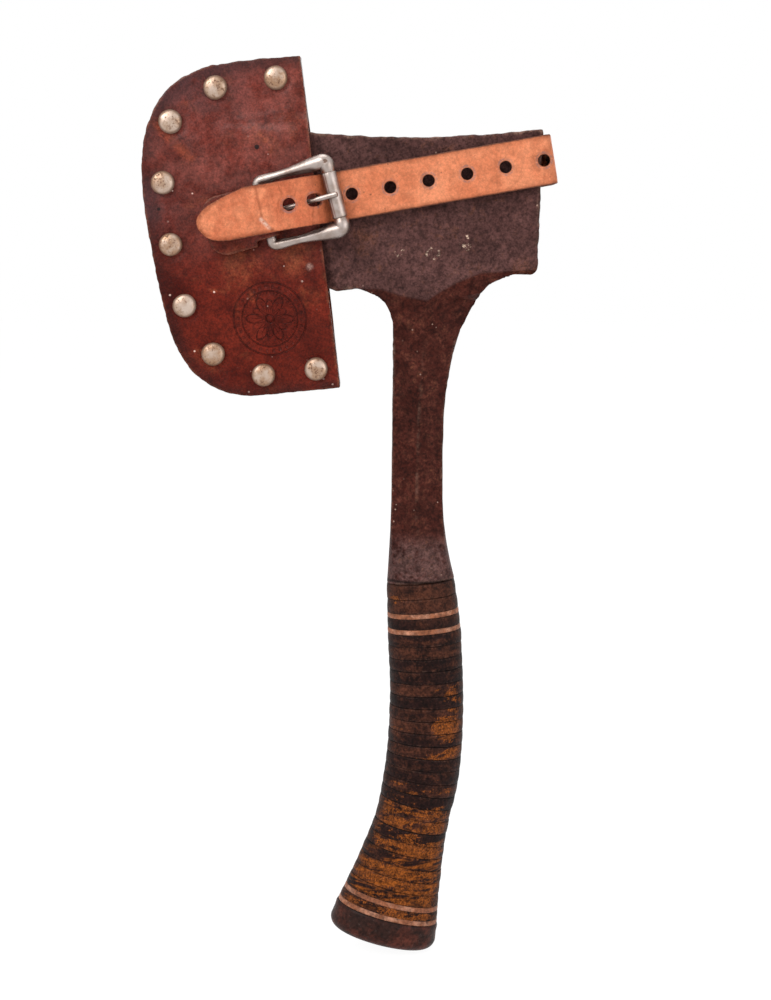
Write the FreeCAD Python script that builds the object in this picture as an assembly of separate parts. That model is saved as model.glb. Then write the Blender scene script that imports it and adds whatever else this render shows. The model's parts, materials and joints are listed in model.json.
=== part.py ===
import FreeCAD, Part
import math
import os

# A hatchet forged in one piece, with a grip of stacked leather washers, in a riveted leather
# edge sheath that a buckled strap holds on round the poll.
# Frame: X from the cutting edge to the poll, Y through the thickness to the back, Z up the
# handle. The origin is the middle of the hand grip. Lengths are in mm, angles in degrees.

# Head
poll_reach = 46.5
head_length = 143.0
head_top = 260.8
head_dip = 3.2
poll_lean = 1.6
underside_height = 204.0
poll_corner = 3.4
brow_dip_share = 0.25
beard_flare_share = 0.45
poll_half_thickness = 12.4
cheek_half_thickness = 8.0
blade_half_thickness = 5.4
edge_half_thickness = 0.4
edge_bevel_angle = 10.0
honed_half_thickness = 0.15
shoulder_width = 6.0
shoulder_low_x = -35.0
shoulder_top_x = -49.0
beard_height = 197.2
beard_notch_width = 7.0
beard_notch_rise = 2.8
toe_setback = 12.0
toe_height = 266.5
heel_setback = 16.0
heel_height = 179.5
head_edge_round = 1.2

# Shank
waist_height = 112.0
waist_width = 20.9
waist_offset = -2.6
shank_flat_half = 4.0
shank_ridge_half = 7.6
neck_start = 184.2
neck_left = -12.3
neck_left_width = 14.7
neck_left_rise = 14.1
neck_right_start = 133.4
neck_right_x = 7.7
neck_right_width = 27.4
neck_right_rise = 70.6
cheek_point_height = 193.5
cheek_point_x = 1.0
collar_depth = 21.6
collar_flat_share = 0.57
collar_side_share = 0.18
collar_side_bulge = 0.02
collar_face_crown = 0.04
crown_slope = 1.5
crown_spread = 8.0
# rings of the neck upward: shares of its rise, of its lean, of its reach to the left and to the
# right, and of its swell toward the cheeks
neck_rings = (
    (0.0, 0.0, 1.0, 1.0, 0.0),
    (0.45, 0.25, 1.0, 1.05, 0.02),
    (0.8, 1.0, 1.3, 1.5, 0.3),
    (1.0, 1.0, 3.6, 1.75, 1.0),
)
# rings of the collar downward: shares of its drop, roundness, shift and growth
collar_rings = (
    (0.38, 0.25, 0.15, 0.22),
    (0.7, 0.72, 0.5, 0.56),
    (1.0, 1.0, 1.0, 1.0),
)

# Grip stack
grip_top = 78.6
stack_drop = 141.4
grip_width = 30.4
grip_depth = 25.0
grip_bend = 15.0
grip_top_shift = -1.0
grip_sides = 20
first_washer = 6.0
upper_band_washer = 4.6
lower_band_washer = 3.7
spacer_thickness = 2.0
main_washers = 22
tang_width = 12.0
tang_depth = 7.0
tang_clearance = 0.2
washer_edge = 0.35
cap_thickness = 12.0
cap_edge = 4.6
cap_flare = 1.2
peen_height = 0.8
cap_turns = (30.0, 60.0, 80.0)
tang_stops = (0.0, 0.2, 0.4, 0.55, 0.7, 0.85, 1.0)
centre_steps = 60
search_turns = 30
frame_step = 0.01
# height, side shift, width and depth down the stack, as shares of the stack's own sizes
grip_shares = (
    (0.0, 0.0, 0.911, 0.92),
    (0.13, 0.09, 0.99, 0.984),
    (0.29, 0.167, 0.998, 1.0),
    (0.44, 0.157, 1.013, 1.0),
    (0.58, 0.04, 1.026, 1.016),
    (0.725, -0.24, 1.01, 1.024),
    (0.875, -0.60, 1.19, 1.06),
    (1.0, -0.907, 1.414, 1.14),
)

# Sheath
sheath_mouth_low = -33.8
sheath_low = 156.0
sheath_height = 133.4
sheath_depth = 78.6
leather_thickness = 2.8
welt_thickness = 4.0
welt_width = 12.0
pocket_start = 22.0
pocket_slope = 0.143
pocket_ramp = 18.0
ramp_steps = 3
# heights of the pocket's lower and upper foot, at its start and at the mouth
ramp_low_shares = (0.27, 0.115)
ramp_high_shares = (0.80, 0.90)
panel_margin = 8.0
rivet_hole_clearance = 0.05
cap_radius = 4.7
cap_rim = 0.5
cap_dome = 1.5
cap_sides = 16
dome_turns = (0.0, 0.6, 1.0)
cap_top_angle = 72.0
post_radius = 1.6
post_sides = 8
seat_gap = 0.05
crown_gap = 0.12
# curved edge of the sheath, from the top of the mouth round to its foot: shares of the depth
# to the left of the foot of the mouth, and of the height above the lowest point
edge_shares = (
    (0.195, 1.0),
    (0.345, 0.994),
    (0.53, 0.982),
    (0.70, 0.962),
    (0.86, 0.905),
    (0.965, 0.805),
    (1.0, 0.685),
    (0.99, 0.56),
    (0.93, 0.345),
    (0.855, 0.165),
    (0.75, 0.062),
    (0.60, 0.006),
    (0.46, -0.006),
    (0.21, 0.006),
    (0.0, 0.018),
)
# rivets along the edge, in the same shares
rivet_shares = (
    (0.318, 0.936),
    (0.622, 0.908),
    (0.851, 0.809),
    (0.894, 0.630),
    (0.859, 0.4475),
    (0.793, 0.2655),
    (0.650, 0.120),
    (0.393, 0.057),
    (0.123, 0.075),
)

# Strap
strap_tilt = 9.77
strap_width = 19.4
strap_thickness = 2.6
strap_face = 12.7
strap_centre_x = -35.2
strap_centre_height = 234.3
strap_gap = 0.3
poll_bend = head_edge_round + strap_gap + strap_thickness / 2.0
strap_climb = 50.0
climb_offset = 0.7
hump_rise = 8.2
hump_bend = 5.0
tail_crease = 28.2
tail_split = 25.6
tail_crease_face = 18.1
tail_length = 55.8
tail_end_drop = 6.3
tail_taper = 21.0
tip_lower_share = 0.45
tail_bend = 4.2
slot_punch_half = 8.0
back_leg_end = 44.0
back_split = 76.0
back_lip = 5.2
hole_radius = 2.3
hole_sides = 12
hole_pitch = 15.3
first_hole = 6.6
straight_holes = 6
tail_hole = 18.1
tongue_hole = 8.2
tongue_slot = 2.4
strap_rivet_first = 17.0
strap_rivet_pitch = 17.0
strap_rivet_radius = 4.0
# outline of the strap's tip: shares of the taper's length and of the half width
tip_shares = (
    (0.50, 0.70),
    (0.17, 0.40),
    (0.0, -0.05),
    (0.09, -0.60),
    (0.28, -0.90),
)

# Buckle
buckle_tilt = 14.7
heel_x = -63.0
heel_height_z = 227.7
heel_bar_radius = 1.65
heel_half_span = 11.9
front_reach = 28.5
front_half_span = 13.2
front_bar_radius = 1.8
front_corner_radius = 2.75
heel_corner_radius = 1.85
side_bar_end = 2.2
boss_share = 0.85
bar_sides = 8
roller_radius = 2.8
roller_length = 18.0
running_clearance = 0.08
tongue_radius = 0.9
tongue_overhang = 1.2
tongue_gap = 0.15
tongue_eye_width = 3.4

# Chape
chape_thickness = 2.0
chape_length = 24.5
chape_width = 23.6
chape_fold_width = 19.0
chape_corner = 7.0
chape_fold_length = 6.0
chape_close = 9.0
chape_slot_width = 4.6
chape_rivet_reach = 15.5
chape_rivet_radius = 3.0
loop_clearance = 0.1
fold_bend_shares = (0.916, 0.985)
fold_ease_shares = (2.2, 4.0)

overrun = 20.0
flat_bulge = 0.002
flat_gap = 0.0000001


def vec(x, y, z):
    return FreeCAD.Vector(x, y, z)


def loop(points):
    return Part.makePolygon(points + points[:1])


def directions(points):
    """Unit direction of a run of points at each of them."""
    last = len(points) - 1
    return [(points[min(i + 1, last)] - points[max(i - 1, 0)]).normalize()
            for i in range(last + 1)]


def arc_to(start, corner, end):
    """Arc that touches both equal legs of a corner."""
    chord = (start + end) * 0.5
    half, height = half_of((end - start).Length), (corner - chord).Length
    bulge = half * math.tan(half_of(math.atan2(height, half)))
    if bulge < flat_bulge:
        return Part.LineSegment(start, end).toShape()
    return Part.Arc(start, chord + (corner - chord).normalize() * bulge, end).toShape()


def arc_chain(points):
    """Smooth run of arcs through points, two of them between each pair."""
    edges = []
    along = directions(points)
    for a, b, leave, arrive in zip(points, points[1:], along, along[1:]):
        gap = b - a
        pull = gap.dot(leave + arrive)
        spread = 2.0 * (1.0 - leave.dot(arrive))
        leg = gap.dot(gap) / (pull + math.sqrt(pull * pull + spread * gap.dot(gap)))
        first, second = a + leave * leg, b - arrive * leg
        joint = (first + second) * 0.5
        edges += [arc_to(a, first, joint), arc_to(joint, second, b)]
    return edges


def save(shape, node):
    shape.exportStep("parts/" + node + ".step")


def half_of(value):
    return value / 2.0


def prism_y(edges, half):
    """Solid of an outline in the XZ plane, half to each side of the middle."""
    face = Part.Face(Part.Wire(edges))
    face.translate(vec(0, -half, 0))
    return face.extrude(vec(0, 2.0 * half, 0))


def rod(start, end, radius):
    return Part.makeCylinder(radius, (end - start).Length, start, end - start)


def ring_of(centre, axis, radius, sides):
    """Corners of a regular outline round an axis, whose sides touch a circle of the radius."""
    across = vec(0, 0, 1) if abs(axis.z) < half_of(axis.Length) else vec(1, 0, 0)
    first = axis.cross(across).normalize()
    second = axis.cross(first).normalize()
    reach = radius / math.cos(math.pi / sides)
    turns = [2.0 * math.pi * i / sides for i in range(sides)]
    return [centre + first * (reach * math.cos(t)) + second * (reach * math.sin(t))
            for t in turns]


def side_face(a, b, c, d):
    """Face between two straight edges, a plane one where they share a plane."""
    normal = (b - a).cross(d - a).normalize()
    if abs(normal.dot(c - a)) < flat_gap:
        return Part.Face(loop([a, b, c, d]))
    return Part.makeRuledSurface(Part.LineSegment(a, b).toShape(), Part.LineSegment(d, c).toShape())


def stacked(rings):
    """Solid with straight sides through a stack of outlines with equal numbers of corners."""
    faces = [Part.Face(loop(rings[0])), Part.Face(loop(rings[-1]))]
    for low, high in zip(rings, rings[1:]):
        for i, corner in enumerate(low):
            j = (i + 1) % len(low)
            faces.append(side_face(corner, low[j], high[j], high[i]))
    shell = Part.makeShell(faces)
    shell.sewShape()
    solid = Part.makeSolid(shell)
    if solid.Volume < 0.0:
        solid.reverse()
    return solid


def prism(start, end, radius, sides, end_radius=None):
    """Many-sided rod, tapered where its end has its own radius."""
    return stacked([ring_of(start, end - start, radius, sides),
                    ring_of(end, end - start, end_radius or radius, sides)])


def ribbon(corners, bends, thickness, width):
    """Strip of leather: a centre line of runs and round bends in X and Y, thick and wide."""
    half = half_of(thickness)
    runs = [(b - a).normalize() for a, b in zip(corners, corners[1:])]
    normals = [vec(-run.y, run.x, 0) for run in runs]
    sides = []
    for side in (1.0, -1.0):
        point = corners[0] + normals[0] * (side * half)
        edges = []
        for i, bend in enumerate(bends):
            d0, d1, n0, n1 = runs[i], runs[i + 1], normals[i], normals[i + 1]
            corner = corners[i + 1] + (n0 + n1) * (side * half / (1.0 + n0.dot(n1)))
            turn = d0.x * d1.y - d0.y * d1.x
            sense = math.copysign(1.0, turn)
            radius = bend - side * sense * half
            cut = radius * math.tan(half_of(math.acos(max(-1.0, min(1.0, d0.dot(d1))))))
            first, last = corner - d0 * cut, corner + d1 * cut
            centre = first + n0 * (sense * radius)
            middle = centre + (corner - centre).normalize() * radius
            edges.append(Part.LineSegment(point, first).toShape())
            edges.append(Part.Arc(first, middle, last).toShape())
            point = last
        end = corners[-1] + normals[-1] * (side * half)
        edges.append(Part.LineSegment(point, end).toShape())
        sides.append((edges, end))
    (left, left_end), (right, right_end) = sides
    start_left = corners[0] + normals[0] * half
    start_right = corners[0] - normals[0] * half
    edges = left + [Part.LineSegment(left_end, right_end).toShape()] + right[::-1]
    edges.append(Part.LineSegment(start_right, start_left).toShape())
    face = Part.Face(Part.Wire(Part.__sortEdges__(edges)))
    face.translate(vec(0, 0, -half_of(width)))
    return face.extrude(vec(0, 0, width))


def cheek_half(x):
    """Half thickness of the head's flat cheeks, at a distance along it."""
    share = (x - shoulder_low_x) / (poll_reach - shoulder_low_x)
    return cheek_half_thickness + (poll_half_thickness - cheek_half_thickness) * share


def blade_half(x):
    """Half thickness of the blade in front of the shoulder."""
    edge_x = poll_reach - head_length
    root_x = shoulder_top_x
    share = (x - edge_x) / (root_x - edge_x)
    return edge_half_thickness + (blade_half_thickness - edge_half_thickness) * share


def shoulder_x(z):
    share = (z - beard_height) / (head_top - beard_height)
    return shoulder_low_x + (shoulder_top_x - shoulder_low_x) * share


def neck_points(start_x, start_z, width, rise, shares):
    return [vec(start_x + width * a, 0, start_z + rise * b) for a, b in shares]


def forging_outline():
    """Outline of the head, neck and upper shank, seen from the side."""
    waist_left = vec(waist_offset - half_of(waist_width), 0, waist_height)
    waist_right = vec(waist_offset + half_of(waist_width), 0, waist_height)
    left = neck_points(neck_left, neck_start, -neck_left_width, neck_left_rise, (
        (0.0, 0.0), (0.095, 0.348), (0.286, 0.66), (0.64, 0.887), (1.0, 1.0)))
    right = neck_points(neck_right_x, neck_right_start, neck_right_width, neck_right_rise, (
        (0.0, 0.0), (0.044, 0.312), (0.198, 0.621), (0.447, 0.831), (0.667, 0.944), (1.0, 1.0)))
    beard = vec(shoulder_low_x, 0, beard_height)
    notch = vec(shoulder_low_x - beard_notch_width, 0, beard_height + beard_notch_rise)
    edge_x = poll_reach - head_length
    heel = vec(edge_x + heel_setback, 0, heel_height)
    toe = vec(edge_x + toe_setback, 0, toe_height)
    edge_mid = vec(edge_x, 0, half_of(heel_height + toe_height))
    flare = (notch + heel) * 0.5 + vec(0, 0, half_of(notch.z - heel.z) * beard_flare_share)
    brow = vec(shoulder_top_x, 0, head_top - head_dip * brow_dip_share)
    dip = vec(half_of(brow.x + poll_reach) - poll_corner, 0, head_top - head_dip)
    poll_top = vec(poll_reach, 0, head_top)
    poll_low = vec(poll_reach - poll_lean, 0, underside_height + poll_corner)
    poll_turn = vec(poll_low.x - poll_corner, 0, underside_height)
    inset = poll_corner * (1.0 - math.sqrt(0.5))
    poll_mid = vec(poll_low.x - inset, 0, underside_height + inset)
    edges = [Part.LineSegment(waist_left, left[0]).toShape()] + arc_chain(left)
    edges.append(Part.LineSegment(left[-1], beard).toShape())
    edges.append(Part.LineSegment(beard, notch).toShape())
    edges += arc_chain([notch, flare, heel])
    edges.append(Part.Arc(heel, edge_mid, toe).toShape())
    edges.append(Part.LineSegment(toe, brow).toShape())
    edges.append(Part.Arc(brow, dip, poll_top).toShape())
    edges.append(Part.LineSegment(poll_top, poll_low).toShape())
    edges.append(Part.Arc(poll_low, poll_mid, poll_turn).toShape())
    edges.append(Part.LineSegment(poll_turn, right[-1]).toShape())
    edges += arc_chain(right[::-1])
    edges.append(Part.LineSegment(right[0], waist_right).toShape())
    edges.append(Part.LineSegment(waist_right, waist_left).toShape())
    return edges


def head_wedge():
    """Thickness of the head: flat cheeks, a slanting shoulder and the thin blade."""
    rings = []
    for z in (waist_height - overrun, head_top + overrun):
        root = shoulder_x(z)
        thin = root - shoulder_width
        back = poll_reach + overrun
        edge = poll_reach - head_length - overrun
        side = [(back, cheek_half(back)), (root, cheek_half(root)), (thin, blade_half(thin))]
        tip = poll_reach - head_length
        side += [(tip, edge_half_thickness), (edge, edge_half_thickness)]
        ring = [vec(x, -y, z) for x, y in side] + [vec(x, y, z) for x, y in side[::-1]]
        rings.append(ring)
    return stacked(rings)


def edge_lens():
    """Body whose rim hones the blade along its round cutting edge."""
    edge_x = poll_reach - head_length
    heel = vec(edge_x + heel_setback, 0, heel_height)
    toe = vec(edge_x + toe_setback, 0, toe_height)
    middle = vec(edge_x, 0, half_of(heel_height + toe_height))
    circle = Part.Arc(heel, middle, toe).toShape().Curve
    radius, centre = circle.Radius, circle.Center
    thick = honed_half_thickness + radius * math.tan(math.radians(edge_bevel_angle))
    reach = head_length * 2.0
    front = loop([
        centre + vec(0, -thick, 0),
        centre + vec(radius, -honed_half_thickness, 0),
        centre + vec(radius, honed_half_thickness, 0),
        centre + vec(0, thick, 0),
    ])
    lens = Part.Face(front).revolve(centre, vec(0, 1, 0), 360)
    corner = centre + vec(-half_of(radius), -half_of(reach), -half_of(reach))
    behind = Part.makeBox(reach, reach, reach, corner)
    return lens.fuse(behind)


def diamond(z, ridge_x, left, right, ridge):
    """Four-sided section about a ridge, reaching left and right of it."""
    return loop([vec(ridge_x + right, 0, z), vec(ridge_x, ridge, z),
                 vec(ridge_x - left, 0, z), vec(ridge_x, -ridge, z)])


def neck_body():
    """Ridged shank that swells forward until it meets the flat cheeks."""
    half = half_of(waist_width)
    reach = half * shank_ridge_half / (shank_ridge_half - shank_flat_half)
    cheek = cheek_half(cheek_point_x)
    swell = cheek - shank_ridge_half
    rise = cheek_point_height - waist_height
    lean = cheek_point_x - waist_offset
    rings = [diamond(waist_height + rise * up, waist_offset + lean * over, reach * left,
                     reach * right, shank_ridge_half + swell * grow)
             for up, over, left, right, grow in neck_rings]
    lower = Part.makeLoft(rings, True, True)
    top = underside_height + poll_corner
    crown = cheek + (top - cheek_point_height) * crown_slope
    wide = reach * crown_spread
    upper = Part.makeLoft([rings[-1], diamond(top, cheek_point_x, wide, wide, crown)], True, True)
    block = Part.makeBox(2.0 * head_length, 4.0 * poll_half_thickness, head_top,
                         vec(-head_length, -2.0 * poll_half_thickness, top))
    return lower.fuse([upper, block])


def collar_ring(z, centre, half_width, flat, ridge, roundness):
    """Six-sided section of the shank that turns into an oval as its roundness grows."""
    side = half_width * (1.0 - collar_side_share * roundness)
    corners = [vec(side, -flat, 0), vec(side, flat, 0), vec(0, ridge, 0),
               vec(-side, flat, 0), vec(-side, -flat, 0), vec(0, -ridge, 0)]
    edges = []
    for i, a in enumerate(corners):
        b = corners[(i + 1) % 6]
        middle = (a + b) * 0.5
        if i in (0, 3):
            middle = vec(math.copysign(half_width + collar_side_bulge * flat, a.x), 0, 0)
        else:
            full = vec(math.copysign(half_of(half_width), middle.x),
                       math.copysign(ridge * math.sqrt(0.75), middle.y), 0)
            middle = middle + (full - middle) * (
                collar_face_crown + (1.0 - collar_face_crown) * roundness)
        edges.append(Part.Arc(a, middle, b).toShape())
    ring = Part.Wire(edges)
    centre_at, across, down = grip_frame(0.0)
    tilt = math.degrees(math.atan2(-across.z, across.x))
    ring.rotate(vec(0, 0, 0), vec(0, 1, 0), roundness * tilt)
    ring.translate(vec(centre, 0, z))
    return ring


def hermite(table, share):
    """Smooth values between the rows of a table whose first column is the share."""
    rows = list(table)
    i = max(k for k in range(len(rows) - 1) if k == 0 or rows[k][0] <= share)
    a, b = rows[i], rows[i + 1]
    before, after = rows[max(i - 1, 0)], rows[min(i + 2, len(rows) - 1)]
    span = b[0] - a[0]
    t = (share - a[0]) / span
    values = []
    for k in range(1, len(a)):
        slope_a = (b[k] - before[k]) / (b[0] - before[0]) * span
        slope_b = (after[k] - a[k]) / (after[0] - a[0]) * span
        values.append((2 * t ** 3 - 3 * t ** 2 + 1) * a[k] + (t ** 3 - 2 * t ** 2 + t) * slope_a
                      + (3 * t ** 2 - 2 * t ** 3) * b[k] + (t ** 3 - t ** 2) * slope_b)
    return values


def grip_centre(share):
    shift, width, depth = hermite(grip_shares, share)
    return vec(grip_top_shift + grip_bend * shift, 0, grip_top - stack_drop * share)


def grip_frame(share):
    """Place of a cross-section of the grip: its centre and its level axes."""
    low, high = max(0.0, share - frame_step), min(1.0, share + frame_step)
    down = (grip_centre(high) - grip_centre(low)).normalize()
    return grip_centre(share), vec(-down.z, 0, down.x), down


def oval(share, grow=0.0, drop=0.0):
    """Oval section of the grip, grown outward and moved down its axis."""
    centre, across, down = grip_frame(share)
    shift, width, depth = hermite(grip_shares, share)
    a = half_of(grip_width * width) + grow
    b = half_of(grip_depth * depth) + grow
    centre = centre + down * drop
    turn = 2.0 * math.pi / grip_sides
    return [centre + across * (a * math.cos(turn * i)) + vec(0, b * math.sin(turn * i), 0)
            for i in range(grip_sides)]


def tang_ring(share, clearance=0.0, drop=0.0):
    centre, across, down = grip_frame(share)
    centre = centre + down * drop
    a = half_of(tang_width) + clearance
    b = half_of(tang_depth) + clearance
    return [centre + across * (a * i) + vec(0, b * j, 0)
            for i, j in ((1, 1), (-1, 1), (-1, -1), (1, -1))]


def tang_body(clearance=0.0, top=0.0, end=cap_thickness):
    """Curved tang down the middle of the stack, through the butt cap."""
    rings = [tang_ring(0.0, clearance, -top)] if top else []
    rings += [tang_ring(share, clearance) for share in tang_stops]
    rings.append(tang_ring(1.0, clearance, end))
    return stacked(rings)


def poll_edges(head):
    """Long upright edges of the poll's face."""
    return [edge for edge in head.Edges
            if edge.Length > half_of(head_top - underside_height)
            and min(v.X for v in edge.Vertexes) > poll_reach - poll_corner
            and min(abs(v.Y) for v in edge.Vertexes) > half_of(poll_half_thickness)]


def make_forging():
    """Head, shank and tang in one piece of steel."""
    head = prism_y(forging_outline(), 2.0 * poll_half_thickness)
    head = head.common(head_wedge())
    head = head.makeFillet(head_edge_round, poll_edges(head))
    head = head.common(neck_body()).common(edge_lens())
    half = half_of(waist_width)
    base_width = half_of(grip_width * grip_shares[0][2])
    base_flat = half_of(collar_depth) * collar_flat_share
    hexagon = loop([vec(waist_offset + x * half, y, waist_height) for x, y in (
        (1, -shank_flat_half), (1, shank_flat_half), (0, shank_ridge_half),
        (-1, shank_flat_half), (-1, -shank_flat_half), (0, -shank_ridge_half))])
    drop = waist_height - grip_top
    rings = [hexagon]
    for down, roundness, shift, growth in collar_rings:
        rings.append(collar_ring(
            waist_height - drop * down,
            waist_offset + (grip_top_shift - waist_offset) * shift,
            half + (base_width - half) * growth,
            shank_flat_half + (base_flat - shank_flat_half) * roundness,
            shank_ridge_half + (half_of(collar_depth) - shank_ridge_half) * roundness,
            roundness))
    collar = Part.makeLoft(rings, True, False)
    tang = tang_body(end=cap_thickness + peen_height)
    save(head.fuse([collar, tang]).removeSplitter(), "forged_body")


def stack_pieces():
    """Names and thicknesses of the stack, from the shank down to the butt cap."""
    pieces = [("washer", first_washer), ("washer", first_washer), ("spacer", spacer_thickness)]
    pieces += [("washer", upper_band_washer), ("spacer", spacer_thickness)]
    lower = [("spacer", spacer_thickness), ("washer", lower_band_washer)]
    lower.append(("spacer", spacer_thickness))
    length = centre_length(1.0)
    used = sum(size for kind, size in pieces + lower)
    pieces += [("washer", (length - used) / main_washers)] * main_washers
    return pieces + lower


def centre_length(share):
    """Length of the stack's curved centre line down to a share of its drop."""
    points = [grip_centre(share * i / centre_steps) for i in range(centre_steps + 1)]
    return sum((b - a).Length for a, b in zip(points, points[1:]))


def share_at(length):
    """Share down the stack at a length along its curved centre line."""
    low, high = 0.0, 1.0
    for turn in range(search_turns):
        middle = half_of(low + high)
        if centre_length(middle) < length:
            low = middle
        else:
            high = middle
    return half_of(low + high)


def make_grip():
    """Leather washers and pale spacers, each a slice of the shaped grip."""
    hole = tang_body(tang_clearance, top=overrun, end=overrun)
    run, start = 0.0, 0.0
    counts = {"washer": 0, "spacer": 0}
    for kind, size in stack_pieces():
        run += size
        end = share_at(run)
        edge = washer_edge if kind == "washer" else half_of(washer_edge)
        slope = edge / size
        inner = (end - start) * slope
        rings = [oval(start, -edge), oval(start + inner), oval(end)]
        piece = stacked(rings).cut(hole)
        counts[kind] += 1
        name = "leather_washer_" if kind == "washer" else "spacer_ring_"
        save(piece, name + "%02d" % counts[kind])
        start = end


def make_butt_cap():
    """Domed cap that the tang's end is peened over."""
    centre, across, down = grip_frame(1.0)
    rings = [oval(1.0, -washer_edge), oval(1.0, half_of(cap_flare), half_of(cap_flare))]
    body_end = cap_thickness - cap_edge
    rings.append(oval(1.0, cap_flare, body_end))
    for turn in cap_turns:
        angle = math.radians(turn)
        rings.append(oval(1.0, cap_flare - cap_edge * (1.0 - math.cos(angle)),
                          body_end + cap_edge * math.sin(angle)))
    cap = stacked(rings)
    save(cap.cut(tang_body(tang_clearance, top=0.0, end=cap_thickness + overrun)), "butt_cap")


def sheath_place(share):
    """Point of the sheath's outline from its shares of depth and height."""
    return vec(sheath_mouth_low - sheath_depth * share[0], 0, sheath_low + sheath_height * share[1])


def sheath_face():
    """Outline of the sheath: its curved edge and its straight mouth."""
    places = [sheath_place(share) for share in edge_shares]
    mouth = Part.LineSegment(places[-1], places[0]).toShape()
    return Part.Face(Part.Wire(arc_chain(places) + [mouth]))


def smooth(value):
    return value * value * value * (value * (6.0 * value - 15.0) + 10.0)


def ramp_line(x, feet, sense):
    """Points up one ramp of the pocket, from its foot on the rim to the crown."""
    start = pocket_start_x()
    share = (x - start) / (sheath_mouth_low - start)
    foot = sheath_low + sheath_height * (feet[0] + (feet[1] - feet[0]) * share)
    base = half_of(welt_thickness) + crown_gap
    steps = [i / ramp_steps for i in range(ramp_steps + 1)]
    return [vec(x, -base - pocket_slope * (x - start) * smooth(step),
                foot + sense * pocket_ramp * share * step) for step in steps]


def pocket_start_x():
    return sheath_mouth_low - sheath_depth + pocket_start


def panel_faces():
    """Inner face of the front panel, past its outline: a flat rim, two ramps and the crown."""
    start, far = pocket_start_x(), sheath_mouth_low + panel_margin
    base = half_of(welt_thickness) + crown_gap
    low, high = ramp_line(far, ramp_low_shares, 1.0), ramp_line(far, ramp_high_shares, -1.0)
    low_apex = ramp_line(start, ramp_low_shares, 1.0)[0]
    high_apex = ramp_line(start, ramp_high_shares, -1.0)[0]
    left = sheath_mouth_low - sheath_depth - panel_margin
    bottom, top = sheath_low - panel_margin, sheath_low + sheath_height + panel_margin
    rim = [vec(left, -base, bottom), vec(far, -base, bottom), low[0], low_apex,
           high_apex, high[0], vec(far, -base, top), vec(left, -base, top)]
    faces = [Part.Face(loop(rim)), Part.Face(loop([low_apex, low[-1], high[-1], high_apex]))]
    for side, apex in ((low, low_apex), (high, high_apex)):
        faces += [Part.Face(loop([apex, a, b])) for a, b in zip(side, side[1:])]
    return faces


def rivet_places():
    return [sheath_place(share) for share in rivet_shares]


def cap_solid(place, face_y, sense, radius=cap_radius):
    """Domed rivet cap on a face, standing out in the sense of Y."""
    out = vec(0, sense, 0)
    base = vec(place.x, face_y, place.z)
    rim = base + out * cap_rim
    rings = [ring_of(base, out, radius, cap_sides)]
    for turn in dome_turns:
        angle = turn * math.radians(cap_top_angle)
        rings.append(ring_of(rim + out * (cap_dome * math.sin(angle)), out,
                             radius * math.cos(angle), cap_sides))
    return stacked(rings)


def post_hole(place, back=1.0, front=1.0):
    """Punch for a rivet's post, reaching out of the back and out of the front."""
    ends = [place + vec(0, -overrun * front, 0), place + vec(0, overrun * back, 0)]
    return prism(ends[0], ends[1], post_radius + rivet_hole_clearance, post_sides)


def make_sheath():
    """Front and back panel, the welt between them, and the rivets along the edge."""
    outline = sheath_face().extrude(vec(0, 4.0 * overrun, 0))
    outline.translate(vec(0, -2.0 * overrun, 0))
    walls = [face.extrude(vec(0, -leather_thickness, 0)) for face in panel_faces()]
    front = walls[0].fuse(walls[1:]).removeSplitter().common(outline)
    front = front.cut([post_hole(place) for place in rivet_places()])
    back = front.mirror(vec(0, 0, 0), vec(0, 1, 0))
    for post in strap_post_places():
        back = back.cut(post_hole(post, front=0.0))
    save(front.cut(post_hole(chape_post_place(), back=0.0)), "front_panel")
    save(back, "back_panel")
    save(make_welt(), "welt")
    outer = half_of(welt_thickness) + leather_thickness + 2.0 * crown_gap
    caps, posts = [], []
    for place in rivet_places():
        caps.append(cap_solid(place, -outer, -1.0))
        post = prism(place + vec(0, -outer, 0), place + vec(0, outer, 0), post_radius, post_sides)
        posts.append(post.fuse(cap_solid(place, outer, 1.0)))
    save(Part.makeCompound(caps), "edge_rivet_caps")
    save(Part.makeCompound(posts), "edge_rivet_posts")


def welt_inside():
    """Face of the pocket inside the welt, open past the mouth."""
    outer = [sheath_place(share) for share in edge_shares]
    along = directions(outer)
    inner = [place + vec(-run.z, 0, run.x) * welt_width for place, run in zip(outer, along)]
    top, foot = inner[0] - along[0] * sheath_depth, inner[-1] + along[-1] * sheath_depth
    line = Part.LineSegment
    return Part.Face(Part.Wire(arc_chain(inner) + [
        line(inner[-1], foot).toShape(), line(foot, top).toShape(), line(top, inner[0]).toShape()]))


def make_welt():
    """Strip of leather between the panels, all along the curved edge."""
    discs = [Part.Face(loop(ring_of(place, vec(0, 1, 0), post_radius + rivet_hole_clearance,
                                    post_sides))) for place in rivet_places()]
    strip = sheath_face().cut([welt_inside()] + discs).Faces[0]
    strip.translate(vec(0, -half_of(welt_thickness), 0))
    return strip.extrude(vec(0, welt_thickness, 0))


def to_strap(shape):
    """From the strap's own level frame to its tilted place round the head."""
    placed = shape.copy()
    placed.rotate(vec(0, 0, 0), vec(0, 1, 0), -strap_tilt)
    placed.translate(vec(strap_centre_x, 0, strap_centre_height))
    return placed


def strap_point(u, w=0.0, y=0.0):
    tilt = math.radians(strap_tilt)
    return vec(strap_centre_x + u * math.cos(tilt) - w * math.sin(tilt), y,
               strap_centre_height + u * math.sin(tilt) + w * math.cos(tilt))


def panel_outer_half(x):
    """Half thickness of the sheath over its crown, at a distance along it."""
    base = half_of(welt_thickness) + crown_gap
    return base + pocket_slope * (x - pocket_start_x()) + leather_thickness


def roller_centre_y():
    return -(strap_face + strap_thickness + strap_gap + roller_radius)


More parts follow.
